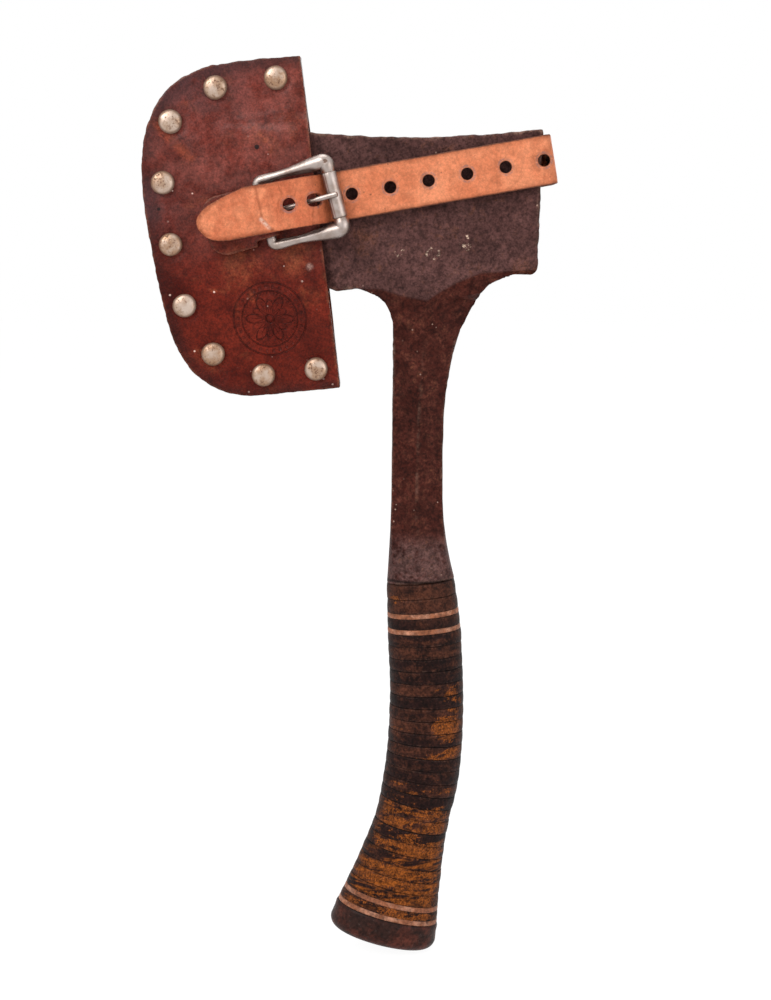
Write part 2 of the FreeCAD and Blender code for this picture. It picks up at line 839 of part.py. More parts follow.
def poll_end():
    """Where the strap's inner face stands behind the poll, along the strap."""
    tilt = math.radians(strap_tilt)
    edge = half_of(strap_width)
    top = (poll_reach - strap_centre_x + edge * math.sin(tilt)) / math.cos(tilt)
    return top + strap_gap


def strap_corners():
    """Corners and bends of the strap's centre line, from the back rivets round to the tip."""
    half = half_of(strap_thickness)
    leg = strap_face + half
    tilt = math.cos(math.radians(strap_tilt))
    end_x = strap_centre_x - back_leg_end * tilt
    slack = strap_gap + pocket_slope * half_of(strap_width) * math.sin(math.radians(strap_tilt))
    end = vec(-back_leg_end, panel_outer_half(end_x) + slack + half, 0)
    lip = vec(-back_lip, leg, 0)
    split = vec(back_split, leg, 0)
    turn_x = poll_end() + half
    back_turn, front_turn = vec(turn_x, leg, 0), vec(turn_x, -leg, 0)
    climb = math.radians(strap_climb)
    wrap = roller_radius + strap_gap + half
    under = vec(-wrap * math.tan(half_of(climb)) - climb_offset, -leg, 0)
    top_y = -leg - hump_rise
    top = vec(under.x - hump_rise / math.tan(climb), top_y - half_of(half), 0)
    crease = vec(-tail_crease, -tail_crease_face - half, 0)
    slope = (crease.y - top.y) / (crease.x - top.x)
    cut = vec(-tail_split, crease.y - slope * (tail_split + crease.x), 0)
    tip = vec(-tail_length, crease.y + tail_end_drop, 0)
    return end, lip, split, back_turn, front_turn, under, top, cut, crease, tip


def tip_outline():
    """Plan of the strap's worn, rounded tip, as a prism through its thickness."""
    half = half_of(strap_width)
    start = -tail_length + tail_taper
    far = poll_end() + overrun
    upper = vec(start, 0, half)
    lower = vec(start - tip_lower_share * tail_taper, 0, -half)
    shares = [vec(-tail_length + tail_taper * a, 0, half * b) for a, b in tip_shares]
    edges = arc_chain([upper] + shares + [lower])
    edges += [Part.LineSegment(lower, vec(far, 0, -half)).toShape(),
              Part.LineSegment(vec(far, 0, -half), vec(far, 0, half)).toShape(),
              Part.LineSegment(vec(far, 0, half), upper).toShape()]
    face = Part.Face(Part.Wire(edges))
    face.translate(vec(0, -2.0 * overrun, 0))
    return face.extrude(vec(0, 4.0 * overrun, 0))


def strap_holes(corners):
    """Punches for the strap's row of holes, in the strap's own frame."""
    under, top = corners[5], corners[6]
    depth = 2.0 * overrun
    places = [first_hole + hole_pitch * i for i in range(straight_holes)] + [-tail_hole]
    punches = [prism(vec(u, -depth, 0), vec(u, 0, 0), hole_radius, hole_sides) for u in places]
    run = (top - under).normalize()
    normal = vec(-run.y, run.x, 0)
    share = (-tongue_hole - under.x) / (top.x - under.x)
    middle = under + (top - under) * share
    slot = half_of(tongue_slot)
    for along in (-slot, slot):
        start = middle + run * along - normal * slot_punch_half
        end = start + normal * (2.0 * slot_punch_half)
        punches.append(prism(start, end, hole_radius, hole_sides))
    box = Part.makeBox(tongue_slot, 2.0 * slot_punch_half, 2.0 * hole_radius,
                       vec(-slot, -slot_punch_half, -hole_radius))
    box.rotate(vec(0, 0, 0), vec(0, 0, 1), math.degrees(math.atan2(run.y, run.x)))
    box.translate(middle)
    return Part.makeCompound(punches + [box])


def flat_rivet(post, head_y, end_y, radius):
    """Flat rivet head with its post, standing on the head in the sense of Y."""
    face = post + vec(0, head_y, 0)
    head = prism(face, face + vec(0, cap_rim, 0), radius, cap_sides)
    shaft = prism(face + vec(0, half_of(cap_rim), 0), post + vec(0, end_y, 0), post_radius, post_sides)
    return head.fuse(shaft)


def strap_post_places():
    """Middles of the two rivets that hold the strap's back leg."""
    return [strap_point(-strap_rivet_first - strap_rivet_pitch * i) for i in range(2)]


def make_strap():
    """One strip of leather in three stretches: back leg, front leg and free tail."""
    corners = strap_corners()
    end, lip, split, back_turn, front_turn, under, top, cut, crease, tip = corners
    wrap = roller_radius + strap_gap + half_of(strap_thickness)
    back = ribbon([end, lip, split], [overrun], strap_thickness, strap_width)
    front = ribbon([split, back_turn, front_turn, under, top, cut],
                   [poll_bend, poll_bend, wrap, hump_bend], strap_thickness, strap_width)
    tail = ribbon([cut, crease, tip], [tail_bend], strap_thickness, strap_width)
    holes, plan = strap_holes(corners), tip_outline()
    back = to_strap(back)
    for post in strap_post_places():
        back = back.cut(post_hole(post, front=0.0))
    save(back, "strap_back")
    save(to_strap(front.cut(holes)), "strap_front")
    save(to_strap(tail.cut(holes).common(plan)), "strap_tip")
    rivets = []
    slope = (lip.y - end.y) / (lip.x - end.x)
    lift = slope * strap_rivet_radius + seat_gap
    for i, post in enumerate(strap_post_places()):
        u = -strap_rivet_first - strap_rivet_pitch * i
        outer = end.y + slope * (u - end.x) + half_of(strap_thickness) + lift
        inner = panel_outer_half(post.x) - leather_thickness - lift
        cap = cap_solid(post, outer, 1.0, strap_rivet_radius)
        shaft = flat_rivet(post, inner - cap_rim, outer + half_of(cap_rim), strap_rivet_radius)
        rivets.append(shaft.fuse(cap))
    save(Part.makeCompound(rivets), "strap_rivets")


def heel_y():
    """Depth of the buckle's heel bar, carried in the fold of the chape."""
    skew = pocket_slope * half_of(chape_width) * math.sin(math.radians(buckle_tilt))
    fold = chape_thickness + loop_clearance + heel_bar_radius
    return -(panel_outer_half(heel_x) + skew + crown_gap + fold)


def to_buckle(shape):
    placed = shape.copy()
    placed.rotate(vec(0, 0, 0), vec(0, 1, 0), -buckle_tilt)
    placed.translate(vec(heel_x, 0, heel_height_z))
    return placed


def buckle_point(u, y, w):
    tilt = math.radians(buckle_tilt)
    return vec(heel_x + u * math.cos(tilt) - w * math.sin(tilt), y,
               heel_height_z + u * math.sin(tilt) + w * math.cos(tilt))


def chape_post_place():
    return buckle_point(-chape_rivet_reach, 0, 0)


def make_chape():
    """Folded leather tab that carries the heel bar, and the rivet that closes it."""
    half = half_of(chape_thickness)
    slope = pocket_slope * math.cos(math.radians(buckle_tilt))
    bar = heel_y()
    loop_radius = heel_bar_radius + loop_clearance + half
    back_at = lambda u: bar + loop_radius - slope * u
    layer = chape_thickness + seat_gap
    corners = [
        vec(-chape_length, back_at(-chape_length), 0),
        vec(loop_radius, back_at(loop_radius), 0),
        vec(loop_radius, bar - loop_radius, 0),
        vec(-half, bar - loop_radius, 0),
        vec(-chape_close, back_at(-chape_close) - layer, 0),
        vec(-chape_length, back_at(-chape_length) - layer, 0),
    ]
    turns = [loop_radius * share for share in fold_bend_shares]
    turns += [half * share for share in fold_ease_shares]
    strip = ribbon(corners, turns, chape_thickness, chape_width)
    plan_back = Part.makeBox(chape_length - chape_fold_length, 4.0 * overrun, chape_width,
                             vec(-chape_length, -2.0 * overrun, -half_of(chape_width)))
    upright = [edge for edge in plan_back.Edges
               if abs(edge.Vertexes[0].X + chape_length) < seat_gap
               and abs(edge.Vertexes[1].X + chape_length) < seat_gap
               and abs(edge.Vertexes[0].Y - edge.Vertexes[1].Y) > overrun]
    plan_back = plan_back.makeFillet(chape_corner, upright)
    plan_front = Part.makeBox(chape_fold_length * 2.0, 4.0 * overrun, chape_fold_width,
                              vec(-chape_fold_length, -2.0 * overrun, -half_of(chape_fold_width)))
    strip = strip.common(plan_back.fuse(plan_front).removeSplitter())
    slot = Part.makeBox(chape_fold_length * 2.0, 4.0 * overrun, chape_slot_width,
                        vec(-chape_fold_length, -2.0 * overrun, -half_of(chape_slot_width)))
    bore = Part.makeCylinder(heel_bar_radius + loop_clearance, chape_width,
                             vec(0, bar, -half_of(chape_width)))
    strip = to_buckle(strip.cut(slot).cut(bore))
    post = chape_post_place()
    save(strip.cut(post_hole(post, back=0.0)), "chape")
    lift = pocket_slope * chape_rivet_radius + crown_gap
    head_y = back_at(-chape_rivet_reach) - layer - half - lift - cap_rim
    inner = -(panel_outer_half(post.x) - leather_thickness - lift)
    inside = post + vec(0, inner, 0)
    cap = prism(inside, inside + vec(0, cap_rim, 0), chape_rivet_radius, cap_sides)
    rivet = flat_rivet(post, head_y, inner + half_of(cap_rim), chape_rivet_radius)
    save(rivet.fuse(cap), "chape_rivet")


def make_buckle():
    """Cast frame with a roller on its front bar and a tongue on its heel bar."""
    heel, front = heel_y(), roller_centre_y()
    reach = front_reach
    parts = []
    for side in (1.0, -1.0):
        a = vec(0, heel, side * heel_half_span)
        b = vec(reach, front, side * front_half_span)
        parts.append(prism(a, b, heel_bar_radius, bar_sides, side_bar_end))
        for place, radius in ((a, heel_corner_radius), (b, front_corner_radius)):
            boss = Part.makeCylinder(radius, 2.0 * radius * boss_share,
                                     place - vec(0, 0, radius * boss_share), vec(0, 0, 1))
            parts.append(boss)
        across = vec(0, 0, side)
        parts.append(Part.makeCylinder(heel_bar_radius, heel_half_span, vec(0, heel, 0), across))
        parts.append(Part.makeCylinder(
            front_bar_radius, front_half_span, vec(reach, front, 0), across))
    save(to_buckle(parts[0].fuse(parts[1:])), "buckle_frame")
    low, high = vec(reach, front, -half_of(roller_length)), vec(reach, front, half_of(roller_length))
    tube = rod(low, high, roller_radius).cut(rod(low, high, front_bar_radius + running_clearance))
    save(to_buckle(tube), "buckle_roller")
    eye_inner = heel_bar_radius + running_clearance
    eye_outer = eye_inner + 2.0 * tongue_radius
    low, high = vec(0, heel, -half_of(tongue_eye_width)), vec(0, heel, half_of(tongue_eye_width))
    start = vec(0, heel - eye_inner - tongue_radius, 0)
    rise = roller_radius + tongue_gap + tongue_radius
    lean = math.atan2(start.y - front + rise, reach)
    end = vec(reach, front - rise / math.cos(lean), 0)
    tip = end + (end - start).normalize() * tongue_overhang
    shaft = prism(start, tip, tongue_radius, bar_sides)
    eye = rod(low, high, eye_outer).fuse(shaft).cut(rod(low, high, eye_inner))
    save(to_buckle(eye), "buckle_tongue")


os.makedirs("parts", exist_ok=True)
make_forging()
make_grip()
make_butt_cap()
make_sheath()
make_strap()
make_chape()
make_buckle()
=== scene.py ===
"""Looks of a forged hatchet with a stacked leather grip, in its riveted and buckled leather sheath.

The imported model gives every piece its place. The script shapes soft edges, worn faces and leather
over it, paints each finish with nodes, and sets up a plain studio round it. Lengths are in
millimetres, and points are turned to metres where a mesh is written.
"""

from __future__ import annotations

import json
import logging
import math
import random
from dataclasses import dataclass, replace
from enum import Enum
from typing import Any, Mapping, Sequence

import bmesh
import bpy
import numpy as np
from bmesh.types import BMesh
from bpy.types import Material, Mesh, Node, NodeSocket, NodeTree, Object
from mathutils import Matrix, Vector

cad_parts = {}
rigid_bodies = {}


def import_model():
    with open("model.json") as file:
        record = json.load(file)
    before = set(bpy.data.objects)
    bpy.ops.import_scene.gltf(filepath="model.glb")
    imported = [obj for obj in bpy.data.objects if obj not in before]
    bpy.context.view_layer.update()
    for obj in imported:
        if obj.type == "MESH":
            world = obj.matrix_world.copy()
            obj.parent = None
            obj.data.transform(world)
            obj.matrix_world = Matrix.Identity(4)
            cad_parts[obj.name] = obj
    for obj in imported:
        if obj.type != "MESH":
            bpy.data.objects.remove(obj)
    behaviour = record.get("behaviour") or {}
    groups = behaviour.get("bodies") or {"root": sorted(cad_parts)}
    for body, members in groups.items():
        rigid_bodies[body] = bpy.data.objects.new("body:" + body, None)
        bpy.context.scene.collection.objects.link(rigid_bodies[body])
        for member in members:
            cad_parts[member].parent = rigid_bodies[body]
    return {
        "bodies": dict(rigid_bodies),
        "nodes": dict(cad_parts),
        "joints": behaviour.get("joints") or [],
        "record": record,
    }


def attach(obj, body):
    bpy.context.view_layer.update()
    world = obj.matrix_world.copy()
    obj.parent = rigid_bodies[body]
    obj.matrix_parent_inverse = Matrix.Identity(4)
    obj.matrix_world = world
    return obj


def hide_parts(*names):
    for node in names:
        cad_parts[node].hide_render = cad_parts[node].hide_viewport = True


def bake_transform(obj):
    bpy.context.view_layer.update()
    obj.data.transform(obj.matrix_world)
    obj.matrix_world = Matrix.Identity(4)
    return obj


log = logging.getLogger("hatchet")

MM = 0.001
TURN = 2.0 * math.pi
WELD = 0.001 * MM
RELAX_STEPS = (0.55, -0.57)
EDGE_GAIN = 4.0
Array = np.ndarray
Colour = tuple[float, float, float]
Point = tuple[float, float, float]
Span = tuple[float, float]
Line = tuple[tuple[float, float], ...]


class Body(Enum):
    """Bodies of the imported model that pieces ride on."""

    HATCHET = "hatchet"
    SHEATH = "sheath"
    STRAP_FREE = "strap_free"
    STRAP_TAIL = "strap_tail"
    BUCKLE_FRAME = "buckle_frame"
    BUCKLE_ROLLER = "buckle_roller"
    BUCKLE_TONGUE = "buckle_tongue"


class Face(Enum):
    """Side of the sheath, as the sign of Y on it."""

    FRONT = -1.0
    BACK = 1.0


class RingKind(Enum):
    """Kinds of ring in the grip."""

    WASHER = "washer"
    SPACER = "spacer"


class CellPart(Enum):
    """What a pattern of cells measures its distance from."""

    MIDDLE = "F1"
    EDGE = "DISTANCE_TO_EDGE"


class Mark(Enum):
    """Numbers that a mesh keeps for each point, for its finish to read."""

    EDGE = "edge"
    CUT = "cut"
    JOINT = "joint"
    TONE = "tone"
    FACING = "facing"
    SHADE_AND_TONE_BELOW = "below"
    HONED = "honed"
    RIM = "rim"
    MOUTH = "mouth"
    STREAK = "streak"
    HOLE = "hole"
    SIDE = "side"
    TIP = "tip"
    CREASE_AND_ROLLER_SHADE = "bend"
    CREST_HIGHLIGHT = "crest"
    BUCKLE_WEAR_AND_SHADE = "fold"


# Mesh work


def read_rows(items: Any, key: str, width: int, kind: type = float) -> Array:
    """Values that a mesh keeps for each of its points or edges.

    Args:
        items: The mesh's points or edges.
        key: Name of the value.
        width: How many numbers it has.
        kind: Type of the numbers.

    Returns:
        One row for each item.
    """
    values = np.empty(len(items) * width, dtype=kind)
    items.foreach_get(key, values)
    return values.reshape(-1, width)


def read_points(mesh: Mesh) -> Array:
    """Points of a mesh in millimetres."""
    return read_rows(mesh.vertices, "co", 3) / MM


def read_normals(mesh: Mesh) -> Array:
    """Normal at each point of a mesh."""
    return read_rows(mesh.vertices, "normal", 3)


def read_edges(mesh: Mesh) -> Array:
    """Pairs of point numbers, one row for each edge."""
    return read_rows(mesh.edges, "vertices", 2, np.int64)


def flatness(mesh: Mesh) -> Array:
    """How far each point's normal turns to the front or the back, from 0 to 1."""
    return np.abs(read_normals(mesh)[:, 1])


def write_points(mesh: Mesh, points: Array) -> None:
    """Puts points in millimetres back into a mesh."""
    mesh.vertices.foreach_set("co", (points * MM).ravel())
    mesh.update()


def store(mesh: Mesh, mark: Mark, values: Array) -> None:
    """Keeps one number for each point under the name of a mark."""
    field = mesh.attributes.get(mark.value) or mesh.attributes.new(mark.value, "FLOAT", "POINT")
    field.data.foreach_set("value", np.asarray(values, dtype=np.float32))


def neighbour_mean(values: Array, edges: Array) -> Array:
    """Mean of the values at each point's neighbours.

    Args:
        values: One row or number for each point.
        edges: Pairs of point numbers.

    Returns:
        An array of the shape of values.
    """
    table = values.reshape(len(values), -1)
    ends = np.concatenate([edges[:, 0], edges[:, 1]])
    others = np.concatenate([edges[:, 1], edges[:, 0]])
    count = np.maximum(np.bincount(ends, minlength=len(table)), 1)
    columns = [np.bincount(ends, weights=table[others, k], minlength=len(table)) / count
               for k in range(table.shape[1])]
    return np.stack(columns, axis=1).reshape(values.shape)


def relax(points: Array, edges: Array, passes: int) -> Array:
    """Smooths points without shrinking the form.

    Args:
        points: Points of the mesh.
        edges: Pairs of point numbers.
        passes: How many times the points move in and out.

    Returns:
        The smoothed points.
    """
    for _ in range(passes):
        for step in RELAX_STEPS:
            points = points + step * (neighbour_mean(points, edges) - points)
    return points


def calmed(mesh: Mesh, passes: int, share: Array) -> Array:
    """Points of a mesh with the ridges of its faces smoothed along Y only.

    Args:
        mesh: The mesh.
        passes: How many times each height moves half way to its neighbours' mean.
        share: How much of the change each point takes.

    Returns:
        The points.
    """
    points, edges = read_points(mesh), read_edges(mesh)
    height = points[:, 1].copy()
    for _ in range(passes):
        height += 0.5 * (neighbour_mean(height, edges) - height)
    points[:, 1] += (height - points[:, 1]) * share
    return points


def worn_edges(mesh: Mesh, grain: float, spread: int = 3) -> Array:
    """How sharply the surface turns outward at each point.

    Args:
        mesh: A mesh of even faces.
        grain: Length of its edges in millimetres.
        spread: How many rings of neighbours the result is blended over.

    Returns:
        About 1 on a tight outer edge, 0 on a flat face, and below 0 in a hollow.
    """
    points, edges = read_points(mesh), read_edges(mesh)
    turn = -np.sum((neighbour_mean(points, edges) - points) * read_normals(mesh), axis=1)
    for _ in range(spread):
        turn = neighbour_mean(turn, edges)
    return np.clip(turn / (grain * grain) * EDGE_GAIN, -1.0, 1.0)


def fade(values: Array, low: float, high: float) -> Array:
    """Smooth step from 0 at low to 1 at high."""
    share = np.clip((values - low) / (high - low), 0.0, 1.0)
    return share * share * (3.0 - 2.0 * share)


def bump(values: Array, width: float) -> Array:
    """Smooth bump, 1 where the values are 0 and nearly 0 beyond twice the width."""
    return np.exp(-(values / width) ** 2)


def circle(sides: int) -> Array:
    """Angles of evenly spaced points round a circle."""
    return np.arange(sides) * TURN / sides


def level_axes(tilt: float) -> tuple[Array, Array]:
    """Axes that are turned round Y: X and Z, each raised by a tilt in degrees."""
    turn = math.radians(tilt)
    return (np.array([math.cos(turn), 0.0, math.sin(turn)]),
            np.array([-math.sin(turn), 0.0, math.cos(turn)]))


def line_distance(points: Array, line: Sequence[Sequence[float]]) -> Array:
    """Least distance from points to a line, as seen from the front.

    Args:
        points: Points in millimetres.
        line: X and Z of the line's points.

    Returns:
        One distance for each point.
    """
    places, corners = points[:, (0, 2)], np.array(line)
    best = np.full(len(places), np.inf)
    for start, end in zip(corners, corners[1:]):
        along = end - start
        share = np.clip((places - start) @ along / (along @ along), 0.0, 1.0)
        gap = places - start - share[:, None] * along
        best = np.minimum(best, np.hypot(gap[:, 0], gap[:, 1]))
    return best


@dataclass(frozen=True)
class Relief:
    """Smooth random relief, made of level waves that cross.

    The height and the usual length of its waves are in millimetres.
    """

    height: float
    length: float
    seed: int
    waves: int = 14
    spread: Span = (0.7, 1.5)

    def at(self, points: Array) -> Array:
        """Height of the relief at points.

        Args:
            points: Points in millimetres.

        Returns:
            One number for each point, mostly within the height on both sides of 0.
        """
        rng = np.random.default_rng(self.seed)
        total = np.zeros(len(points))
        for _ in range(self.waves):
            direction = rng.normal(size=3)
            length = np.linalg.norm(direction) * self.length * rng.uniform(*self.spread)
            direction *= TURN / length
            total += np.sin(points @ direction + rng.uniform(0.0, TURN))
        return self.height * total * math.sqrt(2.0 / self.waves) / 2.0


def uneven(points: Array, layers: Sequence[Relief]) -> Array:
    """Sum of several layers of relief at points."""
    return np.sum([layer.at(points) for layer in layers], axis=0)


def new_piece(name: str, mesh: Mesh) -> Object:
    """Object of a mesh, shaded smoothly, in the scene.

    Args:
        name: Name of the object and its mesh.
        mesh: The mesh.

    Returns:
        The object.
    """
    mesh.name = name
    mesh.shade_smooth()
    piece = bpy.data.objects.new(name, mesh)
    bpy.context.scene.collection.objects.link(piece)
    return piece


def take_mesh(shape: BMesh, name: str) -> Mesh:
    """Mesh of a shape, which is given up.

    Args:
        shape: The shape.
        name: Name of the mesh.

    Returns:
        The mesh.
    """
    mesh = bpy.data.meshes.new(name)
    shape.to_mesh(mesh)
    shape.free()
    return mesh


def mesh_of_rings(rings: Sequence[Array], capped: bool = False) -> Mesh:
    """Mesh through closed rings of the same number of points.

    Args:
        rings: Rings in order, each with one row for each point.
        capped: Whether the first and the last ring get a face.

    Returns:
        The mesh, with its faces turned outward.
    """
    shape = bmesh.new()
    rows = [[shape.verts.new(Vector(point) * MM) for point in ring] for ring in rings]
    count = len(rows[0])
    for lower, upper in zip(rows, rows[1:]):
        for i in range(count):
            j = (i + 1) % count
            shape.faces.new((lower[i], lower[j], upper[j], upper[i]))
    if capped:
        shape.faces.new(rows[0])
        shape.faces.new(rows[-1])
    bmesh.ops.recalc_face_normals(shape, faces=shape.faces)
    return take_mesh(shape, "rings")


@dataclass
class Model:
    """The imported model, and what the pieces need to know of it."""

    frame: Mapping[str, Any]

    def joined(self, nodes: Sequence[str]) -> BMesh:
        """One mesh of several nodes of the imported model.

        Args:
            nodes: Names of the nodes.

        Returns:
            The mesh, with double points joined.
        """
        shape = bmesh.new()
        for node in nodes:
            shape.from_mesh(self.frame["nodes"][node].data)
        bmesh.ops.remove_doubles(shape, verts=shape.verts, dist=WELD)
        return shape

    def softened(self, nodes: Sequence[str], grain: float, passes: int) -> Mesh:
        """Evenly divided copy of nodes, with its facets and sharp edges worn smooth.

        Args:
            nodes: Nodes that the copy joins.
            grain: Size of its faces in millimetres.
            passes: How often it is smoothed.

        Returns:
            A new mesh.
        """
        rough = take_mesh(self.joined(nodes), "rough")
        holder = bpy.data.objects.new("rough", rough)
        bpy.context.scene.collection.objects.link(holder)
        remesh = holder.modifiers.new("grain", "REMESH")
        remesh.mode = "VOXEL"
        remesh.voxel_size = grain * MM
        bpy.context.view_layer.update()
        graph = bpy.context.evaluated_depsgraph_get()
        mesh = bpy.data.meshes.new_from_object(holder.evaluated_get(graph))
        bpy.data.objects.remove(holder)
        bpy.data.meshes.remove(rough)
        write_points(mesh, relax(read_points(mesh), read_edges(mesh), passes))
        return mesh

    def islands(self, node: str) -> list[Array]:
        """Points of each separate solid of a node.

        Args:
            node: Name of the node.

        Returns:
            One array of points in millimetres for each solid.
        """
        shape = self.joined([node])
        left = set(shape.verts)
        found = []
        for start in shape.verts:
            front, group = [start] if start in left else [], []
            left.discard(start)
            while front:
                vert = front.pop()
                group.append(tuple(vert.co / MM))
                others = [edge.other_vert(vert) for edge in vert.link_edges]
                others = [other for other in others if other in left]
                left.difference_update(others)
                front.extend(others)
            if group:
                found.append(np.array(group))
        shape.free()
        return found


# Shader work


class Value:
    """Number on a node's socket, which Python's operators work on."""

    def __init__(self, nodes: "Nodes", socket: NodeSocket) -> None:
        """Keeps the socket and the nodes that it belongs to."""
        self.nodes = nodes
        self.socket = socket

    def math(self, operation: str, *others: "Value | float", first: bool = True) -> "Value":
        """Result of one Math node.

        Args:
            operation: Name of the Math node's operation.
            others: The other inputs.
            first: Whether this value is the first input.

        Returns:
            The value on the node's output.
        """
        inputs = (self, *others) if first else (*others, self)
        node = self.nodes.make("ShaderNodeMath", {"operation": operation}, dict(enumerate(inputs)))
        return Value(self.nodes, node.outputs[0])

    def __add__(self, other: "Value | float") -> "Value":
        """Sum."""
        return self.math("ADD", other)

    def __sub__(self, other: "Value | float") -> "Value":
        """Difference."""
        return self.math("SUBTRACT", other)

    def __rsub__(self, other: float) -> "Value":
        """Difference from a number."""
        return self.math("SUBTRACT", other, first=False)

    def __mul__(self, other: "Value | float") -> "Value":
        """Product."""
        return self.math("MULTIPLY", other)

    def __abs__(self) -> "Value":
        """Size without sign."""
        return self.math("ABSOLUTE")

    __radd__ = __add__
    __rmul__ = __mul__

    def larger(self, *others: "Value") -> "Value":
        """The largest of this value and others.

        Args:
            others: The other values.

        Returns:
            The largest one at each place.
        """
        best = self
        for other in others:
            best = best.math("MAXIMUM", other)
        return best

    def cosine(self, count: float = 1.0) -> "Value":
        """Cosine of a number of times this angle."""
        return (self * count).math("COSINE")

    def sine(self, count: float = 1.0) -> "Value":
        """Sine of a number of times this angle."""
        return (self * count).math("SINE")

    def step(self, low: float, high: float) -> "Value":
        """Smooth step from 0 to 1, which can also run downward.

        Args:
            low: Where it is 0.
            high: Where it is 1, below or above low.

        Returns:
            The step.
        """
        if high < low:
            return 1.0 - self.step(high, low)
        node = self.nodes.make("ShaderNodeMapRange", {"interpolation_type": "SMOOTHSTEP"},
                               {0: self, 1: low, 2: high})
        return Value(self.nodes, node.outputs[0])

    def band(self, centre: float, width: float) -> "Value":
        """1 at the centre, falling to 0 at half the width on each side."""
        return abs(self - centre).step(width / 2.0, 0.0)


class Tint:
    """Colour, vector or surface on a node's socket."""

    def __init__(self, nodes: "Nodes", socket: NodeSocket) -> None:
        """Keeps the socket and the nodes that it belongs to."""
        self.nodes = nodes
        self.socket = socket

    def over(self, other: "Tint | Colour", share: Value) -> "Tint":
        """This colour where share is 0, and the other where it is 1."""
        return self.nodes.mix(share, self, other)

    def shade(self, share: Value | float) -> "Tint":
        """The colour times a number."""
        node = self.nodes.make("ShaderNodeVectorMath", {"operation": "SCALE"}, {0: self, 3: share})
        return Tint(self.nodes, node.outputs[0])


class Nodes:
    """Node tree while it is being written."""

    def __init__(self, tree: NodeTree) -> None:
        """Takes a tree and empties it."""
        self.tree = tree
        self.tree.nodes.clear()

    def make(self, kind: str, settings: Mapping[str, Any] | None = None,
             values: Mapping[int | str, Any] | None = None) -> Node:
        """Adds a node.

        Args:
            kind: Type of the node.
            settings: Settings of the node, which are made first.
            values: What each input socket gets, by its number or name: a link or a plain value.

        Returns:
            The node.
        """
        node = self.tree.nodes.new(kind)
        for key, setting in (settings or {}).items():
            setattr(node, key, setting)
        for key, value in (values or {}).items():
            socket = node.inputs[key]
            if isinstance(value, (Value, Tint)):
                self.tree.links.new(value.socket, socket)
            elif isinstance(value, tuple) and socket.type == "RGBA":
                socket.default_value = (*value, 1.0)
            else:
                socket.default_value = value
        return node

    def mix(self, share: Value | float, first: Tint | Colour, second: Tint | Colour) -> Tint:
        """Colour between two, by share."""
        node = self.make("ShaderNodeMix", {"data_type": "RGBA"}, {0: share, 6: first, 7: second})
        return Tint(self, node.outputs[2])

    def rays(self, *kinds: str) -> Value:
        """Mask of light paths.

        Args:
            kinds: Names of the kinds of path.

        Returns:
            1 for paths of these kinds, 0 for all others.
        """
        path = self.make("ShaderNodeLightPath")
        first, *others = (Value(self, path.outputs[kind]) for kind in kinds)
        return first.larger(*others)

    def close(self, output: str, share: Value, first: Node, second: Node) -> None:
        """Links two surfaces or backgrounds to the tree's output.

        Args:
            output: Type of the output node.
            share: 0 for the first, 1 for the second.
            first: Node of the first.
            second: Node of the second.
        """
        mix = self.make("ShaderNodeMixShader", None, {
            0: share, 1: Tint(self, first.outputs[0]), 2: Tint(self, second.outputs[0])})
        self.make(output, None, {0: Tint(self, mix.outputs[0])})


@dataclass(frozen=True)
class Cloud:
    """Kind of noise around 0.5.

    It has the size of its patches in millimetres, a seed, how many finer layers it has, how
    strong those are, how far it is twisted, and factors that stretch it along the axes.
    """

    size: float
    seed: float
    detail: float = 3.0
    rough: float = 0.55
    twist: float = 0.0
    stretch: Point | None = None


@dataclass(frozen=True)
class Spot:
    """Round patch on the object: its middle, its radius and the share over which it fades."""

    place: Point
    radius: float
    soft: float


@dataclass(frozen=True)
class Layers:
    """Noise of four sizes, which most marks of a finish are made of."""

    broad: Value
    middle: Value
    fine: Value
    tiny: Value


